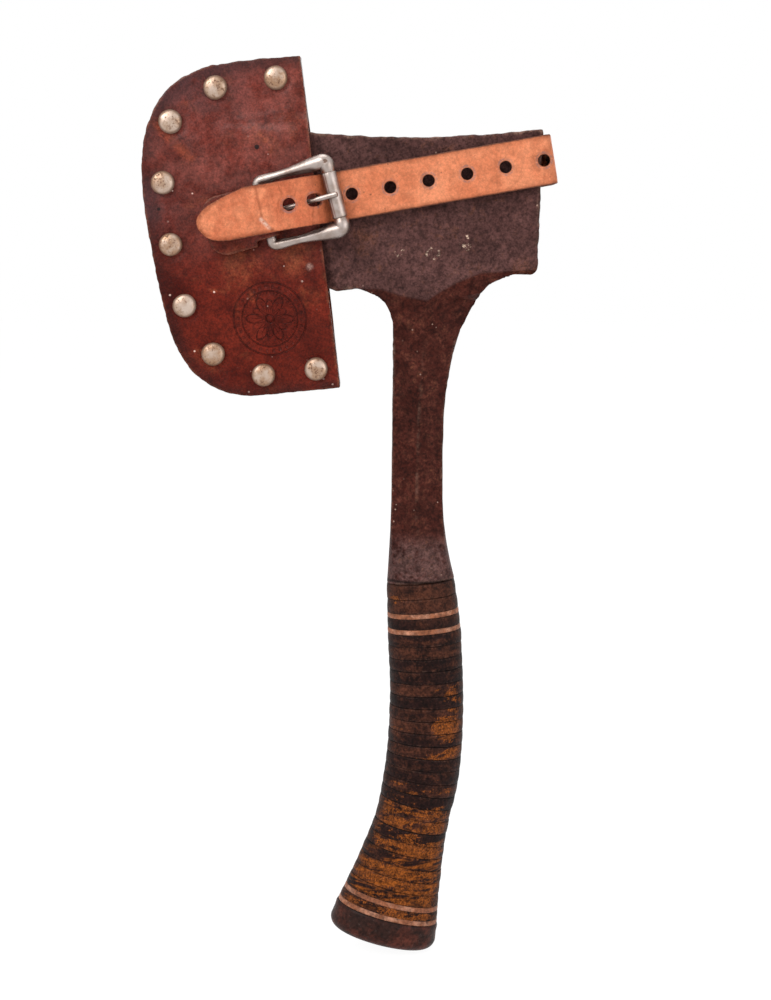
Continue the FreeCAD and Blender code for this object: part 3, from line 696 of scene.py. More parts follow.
class Paint(Nodes):
    """Node tree of one material, with the place on the object in millimetres."""

    def __init__(self, name: str) -> None:
        """Makes an empty material.

        Args:
            name: Name of the material.
        """
        self.material = bpy.data.materials.new(name)
        self.material.use_nodes = True
        super().__init__(self.material.node_tree)
        coordinates = self.make("ShaderNodeTexCoord")
        scaled = self.make("ShaderNodeVectorMath", {"operation": "SCALE"},
                           {0: Tint(self, coordinates.outputs["Object"]), 3: 1.0 / MM})
        self.place = Tint(self, scaled.outputs[0])
        apart = self.make("ShaderNodeSeparateXYZ", None, {0: self.place})
        self.x, self.y, self.z = (Value(self, apart.outputs[k]) for k in range(3))

    def stretched(self, stretch: Point | None) -> Tint:
        """Place with each axis multiplied, or the plain place.

        Args:
            stretch: Factors on the three axes, or nothing.

        Returns:
            The place.
        """
        if stretch is None:
            return self.place
        node = self.make("ShaderNodeVectorMath", {"operation": "MULTIPLY"},
                         {0: self.place, 1: stretch})
        return Tint(self, node.outputs[0])

    def cloud(self, kind: Cloud) -> Value:
        """Noise of a kind.

        Args:
            kind: Its size and layers.

        Returns:
            The noise, around 0.5.
        """
        values = {"Vector": self.stretched(kind.stretch), "W": kind.seed, "Scale": 1.0 / kind.size,
                  "Detail": kind.detail, "Roughness": kind.rough, "Distortion": kind.twist}
        node = self.make("ShaderNodeTexNoise", {"noise_dimensions": "4D"}, values)
        return Value(self, node.outputs[0])

    def layers(self, *kinds: Cloud) -> Layers:
        """Noise of four kinds, from broad to tiny."""
        return Layers(*(self.cloud(kind) for kind in kinds))

    def grit(self, kind: Cloud) -> Value:
        """Strong fine mottling.

        Args:
            kind: Its finer half. The coarser half has patches 2.6 times as large.

        Returns:
            The mottling, from 0 to 1.
        """
        coarse = replace(kind, size=kind.size * 2.6, seed=kind.seed + 0.5)
        return (self.cloud(kind) * 0.6 + self.cloud(coarse) * 0.4).step(0.36, 0.64)

    def cells(self, size: float, part: CellPart = CellPart.MIDDLE,
              stretch: Point | None = None) -> Value:
        """Distance in a pattern of cells.

        Args:
            size: Size of a cell in millimetres.
            part: What the distance is measured from.
            stretch: Factors on the three axes.

        Returns:
            The distance as a share of the size.
        """
        node = self.make("ShaderNodeTexVoronoi", {"feature": part.value},
                         {"Vector": self.stretched(stretch), "Scale": 1.0 / size})
        return Value(self, node.outputs[0])

    def field(self, mark: Mark) -> Value:
        """Number that a mesh keeps for each point."""
        node = self.make("ShaderNodeAttribute", {"attribute_name": mark.value})
        return Value(self, node.outputs["Fac"])

    def near(self, *spots: Spot) -> Value:
        """Mask of round patches on the object.

        Args:
            spots: The patches.

        Returns:
            1 in their middles, 0 outside all of them.
        """
        masks = []
        for spot in spots:
            node = self.make("ShaderNodeVectorMath", {"operation": "DISTANCE"},
                             {0: self.place, 1: spot.place})
            reach = Value(self, node.outputs["Value"])
            masks.append(reach.step(spot.radius, spot.radius * (1.0 - spot.soft)))
        return masks[0].larger(*masks[1:])

    def finish(self, colour: Tint, rough: Value, height: Value, specular: float,
               metal: Value | float = 0.0, coat: Value | float = 0.0,
               coat_rough: float = 0.03) -> None:
        """Links the surface of the material.

        Args:
            colour: Base colour.
            rough: Roughness.
            height: Relief in millimetres.
            specular: Level of its reflections.
            metal: How metallic it is.
            coat: Weight of its clear top layer.
            coat_rough: Roughness of that layer.
        """
        relief = self.make("ShaderNodeBump", None,
                           {"Strength": 1.0, "Distance": MM, "Height": height})
        surface = self.make("ShaderNodeBsdfPrincipled", None, {
            "Base Color": colour, "Roughness": rough, "Metallic": metal, "Coat Weight": coat,
            "Specular IOR Level": specular, "Coat Roughness": coat_rough,
            "Normal": Tint(self, relief.outputs[0])})
        self.make("ShaderNodeOutputMaterial", None, {0: Tint(self, surface.outputs[0])})


# Finishes


@dataclass(frozen=True)
class Finish:
    """Look of one material of the object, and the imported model's slot that it stands for."""

    name: str
    slot: str

    def paint(self, nodes: Paint) -> None:
        """Writes the nodes of the finish."""
        raise NotImplementedError

    def material(self) -> Material:
        """Material of the finish, made once.

        Returns:
            The material.
        """
        found = bpy.data.materials.get(self.name)
        if found is None:
            nodes = Paint(self.name)
            self.paint(nodes)
            found = nodes.material
        return found

    def dress(self, *pieces: Object) -> None:
        """Puts the finish on pieces.

        Args:
            pieces: The pieces.
        """
        for piece in pieces:
            if not piece.material_slots:
                piece.data.materials.append(self.material())
            for place in piece.material_slots:
                place.material = self.material()


@dataclass(frozen=True)
class ForgedSteel(Finish):
    """Dark purple-brown patina of a forged head, with bare worn edges."""

    patina: Colour = (0.058, 0.0240, 0.0215)
    light: Colour = (0.090, 0.0400, 0.0360)
    shank: Colour = (0.036, 0.0072, 0.0046)
    shank_light: Colour = (0.066, 0.0175, 0.0120)
    collar: Colour = (0.100, 0.052, 0.047)
    bare: Colour = (0.17, 0.095, 0.070)
    rust: Colour = (0.130, 0.046, 0.022)
    honed: Colour = (0.42, 0.40, 0.39)
    speck: Colour = (0.34, 0.22, 0.17)
    black: Colour = (0.011, 0.0055, 0.0050)
    chip: Colour = (0.50, 0.36, 0.27)
    broad: Cloud = Cloud(24.0, 1.0, 4.0, 0.6, 0.4)
    middle: Cloud = Cloud(6.5, 7.0, 5.0, 0.65, 0.3)
    fine: Cloud = Cloud(1.9, 2.0, 5.0, 0.7)
    tiny: Cloud = Cloud(0.55, 3.0, 3.0, 0.7)
    scuffs: Cloud = Cloud(3.0, 4.0, 4.0)
    speckling: Cloud = Cloud(12.0, 5.0)
    lumps: Cloud = Cloud(9.0, 6.0)
    grit: Cloud = Cloud(0.85, 8.0, rough=0.6)
    brushing: Cloud = Cloud(1.2, 9.0, 3.0, 0.6, 0.0, (0.15, 1.0, 1.0))
    patches: Cloud = Cloud(13.0, 10.0, 5.0, 0.66, 0.6)
    speck_cells: float = 4.2
    pit_cells: float = 1.9
    collar_z: Span = (101.0, 91.0)
    joint_shade_z: float = 79.4
    joint_shade_height: float = 2.4
    chips: tuple[Spot, ...] = (
        Spot((-28.0, -12.0, 208.3), 3.6, 0.2), Spot((-9.5, -12.0, 212.5), 3.8, 0.2),
        Spot((3.2, -12.0, 212.5), 3.8, 0.2), Spot((16.4, -12.0, 216.5), 3.8, 0.2))
    stains: tuple[Spot, ...] = (
        Spot((-24.0, -12.0, 218.0), 9.0, 0.9), Spot((40.0, -12.0, 205.0), 8.0, 0.9))
    specular: float = 0.07

    def ground(self, nodes: Paint, noise: Layers) -> Tint:
        """Patina of the head, the shank and the collar over the grip, with its rust. Below the
        cheek it is darker and redder, partly as painted shade of the neck and partly as darker
        steel.

        Args:
            nodes: Nodes of the material.
            noise: Its noise.

        Returns:
            The colour.
        """
        broad, middle, fine = noise.broad, noise.middle, noise.fine
        head = nodes.mix((broad * 0.5 + middle * 0.5).step(0.36, 0.64), self.patina, self.light)
        low = nodes.mix((middle * 0.6 + fine * 0.4).step(0.42, 0.62), self.shank, self.shank_light)
        # Below the cheek line: painted shade of the downward-turned neck, with the shank's darker,
        # redder steel.
        colour = head.over(low, nodes.field(Mark.SHADE_AND_TONE_BELOW))
        collar = nodes.z.step(*self.collar_z) * (middle * 0.5 + fine * 0.5).step(0.36, 0.56)
        colour = colour.over(self.collar, collar * 0.85)
        colour = colour.over(self.rust, (fine * 0.55 + middle * 0.45).step(0.53, 0.66) * 0.5)
        flecks = noise.tiny.step(0.60, 0.72) * middle.step(0.38, 0.6)
        colour = colour.over(self.rust, flecks * 0.65)
        return colour.over(self.black, (fine * 0.5 + middle * 0.5).step(0.45, 0.34) * 0.6)

    def paint(self, nodes: Paint) -> None:
        """Writes the nodes of the finish.

        Args:
            nodes: Nodes of the material.
        """
        noise = nodes.layers(self.broad, self.middle, self.fine, self.tiny)
        middle, fine = noise.middle, noise.fine
        scuffed = nodes.field(Mark.EDGE).step(0.12, 0.7) * nodes.cloud(self.scuffs).step(0.36, 0.62)
        colour = self.ground(nodes, noise).over(self.bare, scuffed * 0.8)
        specks = nodes.cells(self.speck_cells).step(0.11, 0.05)
        specks = specks * nodes.cloud(self.speckling).step(0.50, 0.62)
        colour = colour.over(self.speck, specks * 0.85)
        colour = colour.over(self.chip, nodes.near(*self.chips) * fine.step(0.56, 0.62) * 0.9)
        stained = nodes.near(*self.stains) * (fine * 0.5 + middle * 0.5).step(0.42, 0.58)
        colour = colour.over(self.rust, stained * 0.55)
        colour = colour.shade(0.80 + 0.32 * nodes.cloud(self.patches).step(0.38, 0.60))
        # Painted shade: a dark band on the shank just above the grip.
        foot = nodes.z.band(self.joint_shade_z, self.joint_shade_height)
        colour = colour.shade((0.52 + 1.04 * nodes.grit(self.grit)) * (1.0 - 0.8 * foot))
        honed, brushed = nodes.field(Mark.HONED), nodes.cloud(self.brushing)
        colour = colour.over(self.honed, honed * (0.75 + 0.25 * brushed.step(0.35, 0.6)))
        rough = 0.52 + 0.35 * (fine - 0.5) - 0.16 * scuffed - 0.12 * honed
        pits = nodes.cells(self.pit_cells).step(0.36, 0.1) * middle.step(0.48, 0.6)
        worked = (0.20 * fine + 0.06 * noise.tiny - 0.16 * pits + 0.05 * specks + 0.45 * middle
                  + 0.5 * nodes.cloud(self.lumps))
        height = worked * (1.0 - 0.85 * honed) + 0.03 * brushed * honed
        nodes.finish(colour, rough, height, self.specular, 0.05 + 0.8 * honed)


@dataclass(frozen=True)
class SheathLeather(Finish):
    """Dark red-brown oiled leather, mottled and rubbed, with a plain stamped rosette."""

    deep: Colour = (0.066, 0.0050, 0.0022)
    warm: Colour = (0.140, 0.0150, 0.0068)
    rust: Colour = (0.280, 0.074, 0.030)
    painted_sheen: Colour = (0.215, 0.0540, 0.0400)
    dark: Colour = (0.026, 0.0070, 0.0060)
    plum: Colour = (0.052, 0.0170, 0.0185)
    scuff: Colour = (0.92, 0.64, 0.54)
    pit: Colour = (0.010, 0.004, 0.004)
    rubbed: Colour = (0.300, 0.105, 0.058)
    streak: Colour = (0.270, 0.056, 0.028)
    broad: Cloud = Cloud(34.0, 1.0, 4.0, 0.6, 0.6)
    middle: Cloud = Cloud(9.0, 2.0, 5.0, 0.62)
    fine: Cloud = Cloud(2.1, 3.0, 4.0, 0.65)
    tiny: Cloud = Cloud(0.7, 4.0, 3.0, 0.7)
    rusting: Cloud = Cloud(17.0, 5.0, 4.0, 0.6, 0.8)
    streaking: Cloud = Cloud(3.5, 6.0, 4.0, 0.65)
    staining: Cloud = Cloud(7.0, 7.0, 5.0, 0.7, 1.0)
    rubbing: Cloud = Cloud(3.0, 8.0)
    fraying: Cloud = Cloud(4.0, 9.0)
    pressing: Cloud = Cloud(4.0, 11.0)
    speckling: Cloud = Cloud(20.0, 12.0)
    pitting: Cloud = Cloud(25.0, 13.0)
    grit: Cloud = Cloud(0.75, 14.0, rough=0.6)
    smearing: Cloud = Cloud(1.6, 15.0, 4.0, 0.7, 0.8, (1.0, 1.0, 0.55))
    blotches: Cloud = Cloud(15.0, 16.0, 5.0, 0.66, 0.9)
    grain_cells: float = 1.25
    speck_cells: float = 6.4
    pit_cells: float = 9.5
    pit_stretch: Point = (1.0, 1.0, 1.15)
    sheen_z: Span = (196.0, 240.0)
    dirt_reach: float = 7.0
    mouth_reach: Span = (1.1, 0.3)
    glows: tuple[Spot, ...] = (
        Spot((-74.0, -9.0, 207.5), 12.0, 0.9), Spot((-52.0, -9.0, 211.0), 11.0, 0.9))
    corners: tuple[Spot, ...] = (
        Spot((-96.0, -6.0, 284.0), 46.0, 0.9), Spot((-112.0, -6.0, 232.0), 26.0, 0.9))
    smear: Spot = Spot((-45.3, -9.2, 207.0), 2.9, 0.9)
    nick: Spot = Spot((-66.2, -8.0, 253.9), 1.25, 0.3)
    stamp_place: Span = (-61.8, 186.2)
    stamp_radius: float = 14.6
    bead_inset: float = 1.7
    bead_count: float = 30.0
    ring_inset: float = 3.4
    rope_inset: float = 4.3
    rope_count: float = 48.0
    petal_inset: float = 5.0
    petal_count: float = 3.0
    vein_reach: float = 5.6
    leaf_inset: float = 7.0
    heart_radius: float = 1.6
    specular: float = 0.08
    coat_rough: float = 0.32

    def rosette(self, nodes: Paint) -> Value:
        """Grooves of the stamp: two rings, a ring of beads, a rope, petals and leaves.

        Args:
            nodes: Nodes of the material.

        Returns:
            1 in a groove, 0 beside it.
        """
        east, north = nodes.x - self.stamp_place[0], nodes.z - self.stamp_place[1]
        reach = (east * east + north * north).math("SQRT")
        angle = north.math("ARCTAN2", east)
        edge = self.stamp_radius
        rings = reach.band(edge, 1.1).larger(reach.band(edge - self.ring_inset, 0.9))
        beads = reach.band(edge - self.bead_inset, 2.2)
        beads = angle.cosine(self.bead_count).step(0.0, 0.8) * beads
        twist = (angle * self.rope_count + reach * 2.0).cosine().step(0.1, 0.9)
        rope = twist * reach.band(edge - self.rope_inset, 1.0)
        petal = abs(angle.cosine(self.petal_count)) * (edge - self.petal_inset)
        petals = (reach - petal).band(0.0, 1.3) * reach.step(1.2, 2.6)
        veins = angle.sine(self.petal_count).band(0.0, 0.22) * reach.band(self.vein_reach, 6.5)
        leaf = abs(angle.sine(self.petal_count)) * (edge - self.leaf_inset)
        leaves = (reach - leaf).band(0.0, 1.2) * reach.step(2.0, 3.4)
        heart = reach.band(self.heart_radius, 1.1)
        grooves = rings.larger(beads * 0.8, petals, heart, rope * 0.6, veins * 0.7, leaves * 0.7)
        return grooves * nodes.y.step(0.0, -1.0) * nodes.cloud(self.pressing).step(0.15, 0.5)

    def ground(self, nodes: Paint, noise: Layers, high: Value) -> Tint:
        """Mottled leather with a painted sheen on its upper part, rust-red glow, streak and dark
        rim.

        Args:
            nodes: Nodes of the material.
            noise: Its noise.
            high: 0 on the lower half, 1 near the top, where the sheen is painted.

        Returns:
            The colour.
        """
        middle, fine = noise.middle, noise.fine
        mottle = (noise.broad * 0.6 + middle * 0.4).step(0.36, 0.66)
        colour = nodes.mix(mottle, self.deep, self.warm)
        # Painted sheen: a pale haze over the upper part, for the reflection of light from above.
        colour = colour.over(self.painted_sheen, high * (0.35 + 0.65 * middle.step(0.34, 0.6)) * 0.75)
        rust = nodes.cloud(self.rusting).step(0.52, 0.72) * fine.step(0.3, 0.6)
        colour = colour.over(self.rust, rust * 0.45)
        glow = nodes.near(*self.glows) * (fine * 0.5 + middle * 0.5).step(0.36, 0.58)
        colour = colour.over(self.rust, glow * 0.6)
        streak = nodes.field(Mark.STREAK) * nodes.cloud(self.streaking).step(0.32, 0.48)
        colour = colour.over(self.streak, streak * 0.85)
        dirt = nodes.field(Mark.RIM).step(self.dirt_reach, 0.0)
        return colour.over(self.dark, dirt * (0.45 + 0.55 * middle.step(0.35, 0.6)) * 0.8)

    def small_marks(self, nodes: Paint, colour: Tint, pits: Value) -> Tint:
        """Adds pale specks, dark pits, a pale smear and a nick.

        Args:
            nodes: Nodes of the material.
            colour: Colour so far.
            pits: Mask of the pits.

        Returns:
            The colour with the marks.
        """
        specks = nodes.cells(self.speck_cells).step(0.085, 0.05)
        specks = specks * nodes.cloud(self.speckling).step(0.42, 0.56)
        colour = colour.over(self.scuff, specks * 0.75).over(self.pit, pits * 0.9)
        smear = nodes.near(self.smear) * nodes.cloud(self.smearing).step(0.34, 0.50)
        return colour.over(self.scuff, smear).over(self.pit, nodes.near(self.nick) * 0.95)

    def paint(self, nodes: Paint) -> None:
        """Writes the nodes of the finish.

        Args:
            nodes: Nodes of the material.
        """
        noise = nodes.layers(self.broad, self.middle, self.fine, self.tiny)
        middle, fine = noise.middle, noise.fine
        high = nodes.z.step(*self.sheen_z)
        colour = self.ground(nodes, noise, high)
        stains = nodes.cloud(self.staining).step(0.56, 0.72)
        colour = colour.over(self.dark, stains * 0.5)
        corner = nodes.near(*self.corners) * (0.35 + 0.65 * middle.step(0.38, 0.6))
        colour = colour.over(self.plum, corner * 0.7)
        worn = nodes.field(Mark.EDGE).step(0.25, 0.8) * nodes.cloud(self.rubbing).step(0.3, 0.6)
        colour = colour.over(self.rubbed, worn * 0.4)
        mouth = nodes.field(Mark.MOUTH).step(*self.mouth_reach)
        mouth = mouth * nodes.cloud(self.fraying).step(0.35, 0.6)
        colour = colour.over(self.rubbed, mouth * 0.35)
        colour = colour.over(self.dark, nodes.field(Mark.CUT) * (0.5 + 0.4 * middle))
        stamp = self.rosette(nodes)
        colour = colour.over(self.dark, stamp * 0.5)
        pits = nodes.cells(self.pit_cells, CellPart.MIDDLE, self.pit_stretch).step(0.10, 0.05)
        pits = pits * nodes.cloud(self.pitting).step(0.46, 0.6)
        colour = self.small_marks(nodes, colour, pits)
        colour = colour.shade(0.80 + 0.34 * nodes.cloud(self.blotches).step(0.38, 0.60))
        grain = nodes.cells(self.grain_cells, CellPart.EDGE).step(0.0, 0.16)
        colour = colour.shade((0.84 + 0.16 * grain) * (0.66 + 0.78 * nodes.grit(self.grit)))
        rough = 0.40 + 0.30 * (fine - 0.5) + 0.10 * stains + 0.12 * mouth
        height = (0.05 * grain + 0.12 * fine + 0.04 * noise.tiny + 0.30 * middle
                  + 0.5 * noise.broad - 0.5 * stamp - 0.2 * pits - 0.06 * stains)
        coat = 0.04 + high * 0.22 * middle.step(0.35, 0.6)
        nodes.finish(colour, rough, height, self.specular, 0.0, coat, self.coat_rough)


@dataclass(frozen=True)
class StrapLeather(Finish):
    """Orange-tan strap leather, dirty along its cut edges and round its holes, with painted shade
    in its holes, inside the buckle and under the roller, and a painted highlight on its crest.
    """

    tan: Colour = (0.62, 0.182, 0.080)
    pale: Colour = (0.77, 0.270, 0.132)
    brown: Colour = (0.27, 0.066, 0.025)
    edge: Colour = (0.115, 0.040, 0.022)
    worn: Colour = (0.50, 0.115, 0.046)
    crest: Colour = (0.86, 0.62, 0.50)
    bruise: Colour = (0.155, 0.135, 0.15)
    hole: Colour = (0.03, 0.016, 0.012)
    speck: Colour = (0.10, 0.04, 0.025)
    broad: Cloud = Cloud(22.0, 21.0, 4.0)
    middle: Cloud = Cloud(6.0, 22.0, 4.0, 0.6)
    fine: Cloud = Cloud(1.6, 23.0, 4.0, 0.65)
    tiny: Cloud = Cloud(0.5, 24.0, 3.0, 0.7)
    shading: Cloud = Cloud(10.0, 25.0, 5.0, 0.62, 0.7)
    speckling: Cloud = Cloud(15.0, 26.0)
    creasing: Cloud = Cloud(2.4, 27.0, 3.0, 0.6, 0.4, (0.9, 1.0, 0.25))
    fuzz: Cloud = Cloud(0.6, 28.0)
    grit: Cloud = Cloud(1.1, 29.0, rough=0.6)
    threads: Cloud = Cloud(2.2, 30.0, 4.0, 0.65, 0.6, (1.0, 1.0, 0.3))
    rubbing: Cloud = Cloud(3.4, 35.0, 5.0, 0.7, 0.8, (0.6, 1.0, 1.3))
    tail_wear: Cloud = Cloud(8.0, 36.0, 4.0, 0.6, 0.5)
    grain_cells: float = 0.95
    speck_cells: float = 4.8
    dirty_reach: float = 2.2
    line_reach: Span = (0.75, 0.15)
    burnt_reach: Span = (2.4, 0.3)
    tail_reach: Span = (30.0, 8.0)
    ring_radius: float = 3.05
    ring_width: float = 1.7
    hole_shade_reach: Span = (2.6, 2.3)
    hole_slope: Span = (4.3, 2.5)
    torn_hole: Spot = Spot((45.0, -12.0, 247.6), 6.5, 0.8)
    specular: float = 0.18

    def ground(self, nodes: Paint, noise: Layers) -> Tint:
        """Tan leather with dirt along its sides and a darkened tail.

        Args:
            nodes: Nodes of the material.
            noise: Its noise.

        Returns:
            The colour.
        """
        middle, fine = noise.middle, noise.fine
        mottle = (noise.broad * 0.55 + middle * 0.45).step(0.38, 0.64)
        colour = nodes.mix(mottle, self.tan, self.pale)
        colour = colour.over(self.brown, nodes.cloud(self.shading).step(0.5, 0.7) * 0.28)
        side = nodes.field(Mark.SIDE)
        dirty = side.step(self.dirty_reach, 0.0) * (0.35 + 0.65 * middle.step(0.35, 0.6))
        colour = colour.over(self.brown, dirty * 0.75)
        line = side.step(*self.line_reach) * (0.6 + 0.4 * fine.step(0.35, 0.55))
        colour = colour.over(self.edge, line * 0.9)
        tip = nodes.field(Mark.TIP)
        burnt = tip.step(*self.burnt_reach) * (0.5 + 0.5 * fine.step(0.36, 0.56))
        colour = colour.over(self.brown, burnt * 0.85)
        tail = nodes.cloud(self.tail_wear).step(0.46, 0.62) * tip.step(*self.tail_reach)
        return colour.over(self.worn, tail * 0.5)

    def paint(self, nodes: Paint) -> None:
        """Writes the nodes of the finish.

        Args:
            nodes: Nodes of the material.
        """
        noise = nodes.layers(self.broad, self.middle, self.fine, self.tiny)
        middle, fine = noise.middle, noise.fine
        hole, bend, fold = nodes.field(Mark.HOLE), nodes.field(Mark.CREASE_AND_ROLLER_SHADE), nodes.field(Mark.BUCKLE_WEAR_AND_SHADE)
        torn = nodes.near(self.torn_hole) * fine.step(0.42, 0.56)
        colour = self.ground(nodes, noise).over(self.brown, torn * 0.8)
        # Inside the buckle the strap is darker: painted shade under the frame, with worn leather
        # and brown threads.
        colour = colour.over(self.worn, fold * (0.25 + 0.55 * middle.step(0.36, 0.62)))
        threads = nodes.cloud(self.threads).step(0.52, 0.66)
        colour = colour.over(self.brown, fold * threads * 0.55)
        # Darker along the crease over the heel bar, as crease and painted shade, and painted shade
        # where the strap goes under the roller.
        colour = colour.over(self.brown, bend * (0.3 + 0.6 * fine))
        # Painted highlight: a pale streak on the bent crest over the heel bar.
        crest = nodes.field(Mark.CREST_HIGHLIGHT) * fine.step(0.34, 0.52)
        colour = colour.over(self.crest, crest * 0.85)
        cut = nodes.field(Mark.CUT)
        colour = colour.over(self.edge, cut * (0.65 + 0.35 * fine.step(0.35, 0.6)))
        ring = hole.band(self.ring_radius, self.ring_width) * (1.0 - cut)
        colour = colour.over(self.bruise, ring * (0.10 + 0.45 * fine.step(0.42, 0.6)))
        # Painted shade: the hole walls are darkened nearly to black.
        colour = colour.over(self.hole, hole.step(*self.hole_shade_reach))
        specks = nodes.cells(self.speck_cells).step(0.09, 0.05)
        specks = specks * nodes.cloud(self.speckling).step(0.44, 0.58)
        colour = colour.over(self.speck, specks * 0.7)
        colour = colour.over(self.worn, nodes.cloud(self.rubbing).step(0.57, 0.68) * 0.45)
        grain = nodes.cells(self.grain_cells, CellPart.EDGE).step(0.0, 0.14)
        colour = colour.shade((0.88 + 0.12 * grain) * (0.84 + 0.32 * nodes.grit(self.grit)))
        rough = 0.52 + 0.22 * (fine - 0.5) + 0.15 * cut
        creases = nodes.cloud(self.creasing) * bend
        height = (0.03 * grain + 0.07 * fine + 0.03 * noise.tiny + 0.16 * middle
                  - 0.22 * hole.step(*self.hole_slope) - 0.25 * creases
                  + 0.10 * cut * nodes.cloud(self.fuzz))
        nodes.finish(colour, rough, height, self.specular)


@dataclass(frozen=True)
class WasherLeather(Finish):
    """Near-black leather washers, rubbed to orange-brown where the hand wears them, with painted
    shade at their sides.
    """

    black: Colour = (0.0130, 0.0044, 0.0036)
    brown: Colour = (0.0640, 0.0205, 0.0112)
    orange: Colour = (0.250, 0.066, 0.0090)
    grey: Colour = (0.135, 0.090, 0.070)
    middle: Cloud = Cloud(7.0, 32.0, 5.0, 0.68, 0.5)
    fine: Cloud = Cloud(1.1, 33.0, 4.0, 0.7)
    tiny: Cloud = Cloud(0.5, 36.0, 2.0, 0.6)
    leaves: Cloud = Cloud(2.6, 31.0, 4.0, 0.65, 0.3, (0.16, 0.16, 1.0))
    streaking: Cloud = Cloud(1.7, 34.0, 3.0, 0.6, 0.2, (0.12, 0.12, 1.0))
    patches: Cloud = Cloud(9.0, 37.0, 5.0, 0.7, 0.8, (0.55, 0.55, 1.25))
    grit: Cloud = Cloud(1.0, 38.0, rough=0.6)
    brown_z: float = 72.0
    brown_height: float = 30.0
    hand_z: tuple[tuple[float, float, float], ...] = (
        (34.0, 8.0, 0.25), (3.0, -5.0, 0.50), (-22.0, -40.0, 0.25))
    thumb_z: float = 70.5
    thumb_height: float = 11.0
    thumb_x: Span = (-4.0, -12.0)
    palm_z: float = 22.0
    palm_height: float = 52.0
    palm_x: Span = (-1.0, 9.0)
    streak_top: Span = (-28.0, -40.0)
    streak_foot: Span = (-60.0, -52.0)
    specular: float = 0.08

    def handled(self, nodes: Paint) -> Value:
        """Where the hand has rubbed the grip: its lower half, its thumb place and its palm side.

        Args:
            nodes: Nodes of the material.

        Returns:
            0 where it is hardly touched, 1 where it is worn most.
        """
        low, middle, foot = (nodes.z.step(start, end) * share for start, end, share in self.hand_z)
        thumb = nodes.z.band(self.thumb_z, self.thumb_height) * nodes.x.step(*self.thumb_x)
        palm = nodes.z.band(self.palm_z, self.palm_height) * nodes.x.step(*self.palm_x) * 0.95
        return (low + middle + foot).larger(thumb.larger(palm))

    def paint(self, nodes: Paint) -> None:
        """Writes the nodes of the finish.

        Args:
            nodes: Nodes of the material.
        """
        middle, fine, tiny, leaves = (
            nodes.cloud(kind) for kind in (self.middle, self.fine, self.tiny, self.leaves))
        tone, joint, facing = (nodes.field(mark) for mark in (Mark.TONE, Mark.JOINT, Mark.FACING))
        mottle = tone * 0.12 + middle * 0.5 + leaves * 0.3 + fine * 0.18
        colour = nodes.mix(mottle.step(0.48, 0.64), self.black, self.brown)
        upper = nodes.z.band(self.brown_z, self.brown_height)
        colour = colour.over(self.brown, upper * (0.35 + 0.65 * middle.step(0.38, 0.58)))
        wear = nodes.cloud(self.patches) * 0.55 + leaves * 0.25 + fine * 0.20 + 0.10 * (tone - 0.5)
        rub = (wear + 0.16 * (self.handled(nodes) - 0.5)).step(0.535, 0.565)
        # Wear, weakened toward the washers' sides, which also paints shade there.
        rub = rub * (0.25 + 0.75 * (facing + 0.5 * (middle - 0.5)).step(0.30, 0.72))
        colour = colour.over(self.orange, rub * (0.15 + 0.85 * tiny.step(0.40, 0.56)) * 0.9)
        streaks = nodes.cloud(self.streaking).step(0.48, 0.6)
        streaks = streaks * nodes.z.step(*self.streak_top) * nodes.z.step(*self.streak_foot)
        colour = colour.over(self.orange, streaks * 0.8)
        dust = nodes.field(Mark.EDGE).step(0.2, 0.8) * fine.step(0.45, 0.65)
        colour = colour.over(self.grey, dust * 0.35).over(self.grey, tiny.step(0.64, 0.74) * 0.4)
        colour = colour.shade((1.0 - 0.8 * joint) * (0.35 + 1.30 * nodes.grit(self.grit)))
        # Painted shade: the washers darken toward their sides, away from the front and back.
        colour = colour.shade(0.55 + 0.45 * facing.step(0.05, 0.65))
        rough = 0.50 + 0.30 * (fine - 0.5) + 0.15 * joint
        height = 0.16 * fine + 0.22 * leaves + 0.30 * middle + 0.05 * tiny
        nodes.finish(colour, rough, height, self.specular)


@dataclass(frozen=True)
class SpacerFibre(Finish):
    """Pale pinkish-tan spacer rings, stained orange."""

    pale: Colour = (0.45, 0.205, 0.125)
    stain: Colour = (0.27, 0.090, 0.040)
    dirt: Colour = (0.06, 0.028, 0.02)
    middle: Cloud = Cloud(5.0, 41.0, 4.0)
    fine: Cloud = Cloud(0.9, 42.0, 4.0, 0.7)
    grit: Cloud = Cloud(1.4, 43.0, rough=0.6)
    staining: Cloud = Cloud(8.0, 44.0, 4.0, 0.6)
    specular: float = 0.2

    def paint(self, nodes: Paint) -> None:
        """Writes the nodes of the finish.

        Args:
            nodes: Nodes of the material.
        """
        middle, fine = nodes.cloud(self.middle), nodes.cloud(self.fine)
        colour = nodes.mix(middle.step(0.4, 0.62), self.pale, self.stain)
        colour = colour.over(self.dirt, nodes.field(Mark.JOINT) * 0.8)
        colour = colour.over(self.stain, nodes.cloud(self.staining).step(0.46, 0.56) * 0.9)
        colour = colour.over(self.dirt, fine.step(0.52, 0.66) * 0.7)
        colour = colour.shade(0.55 + 0.75 * nodes.grit(self.grit))
        rough, height = 0.48 + 0.2 * (fine - 0.5), 0.06 * fine
        nodes.finish(colour, rough, height, self.specular)


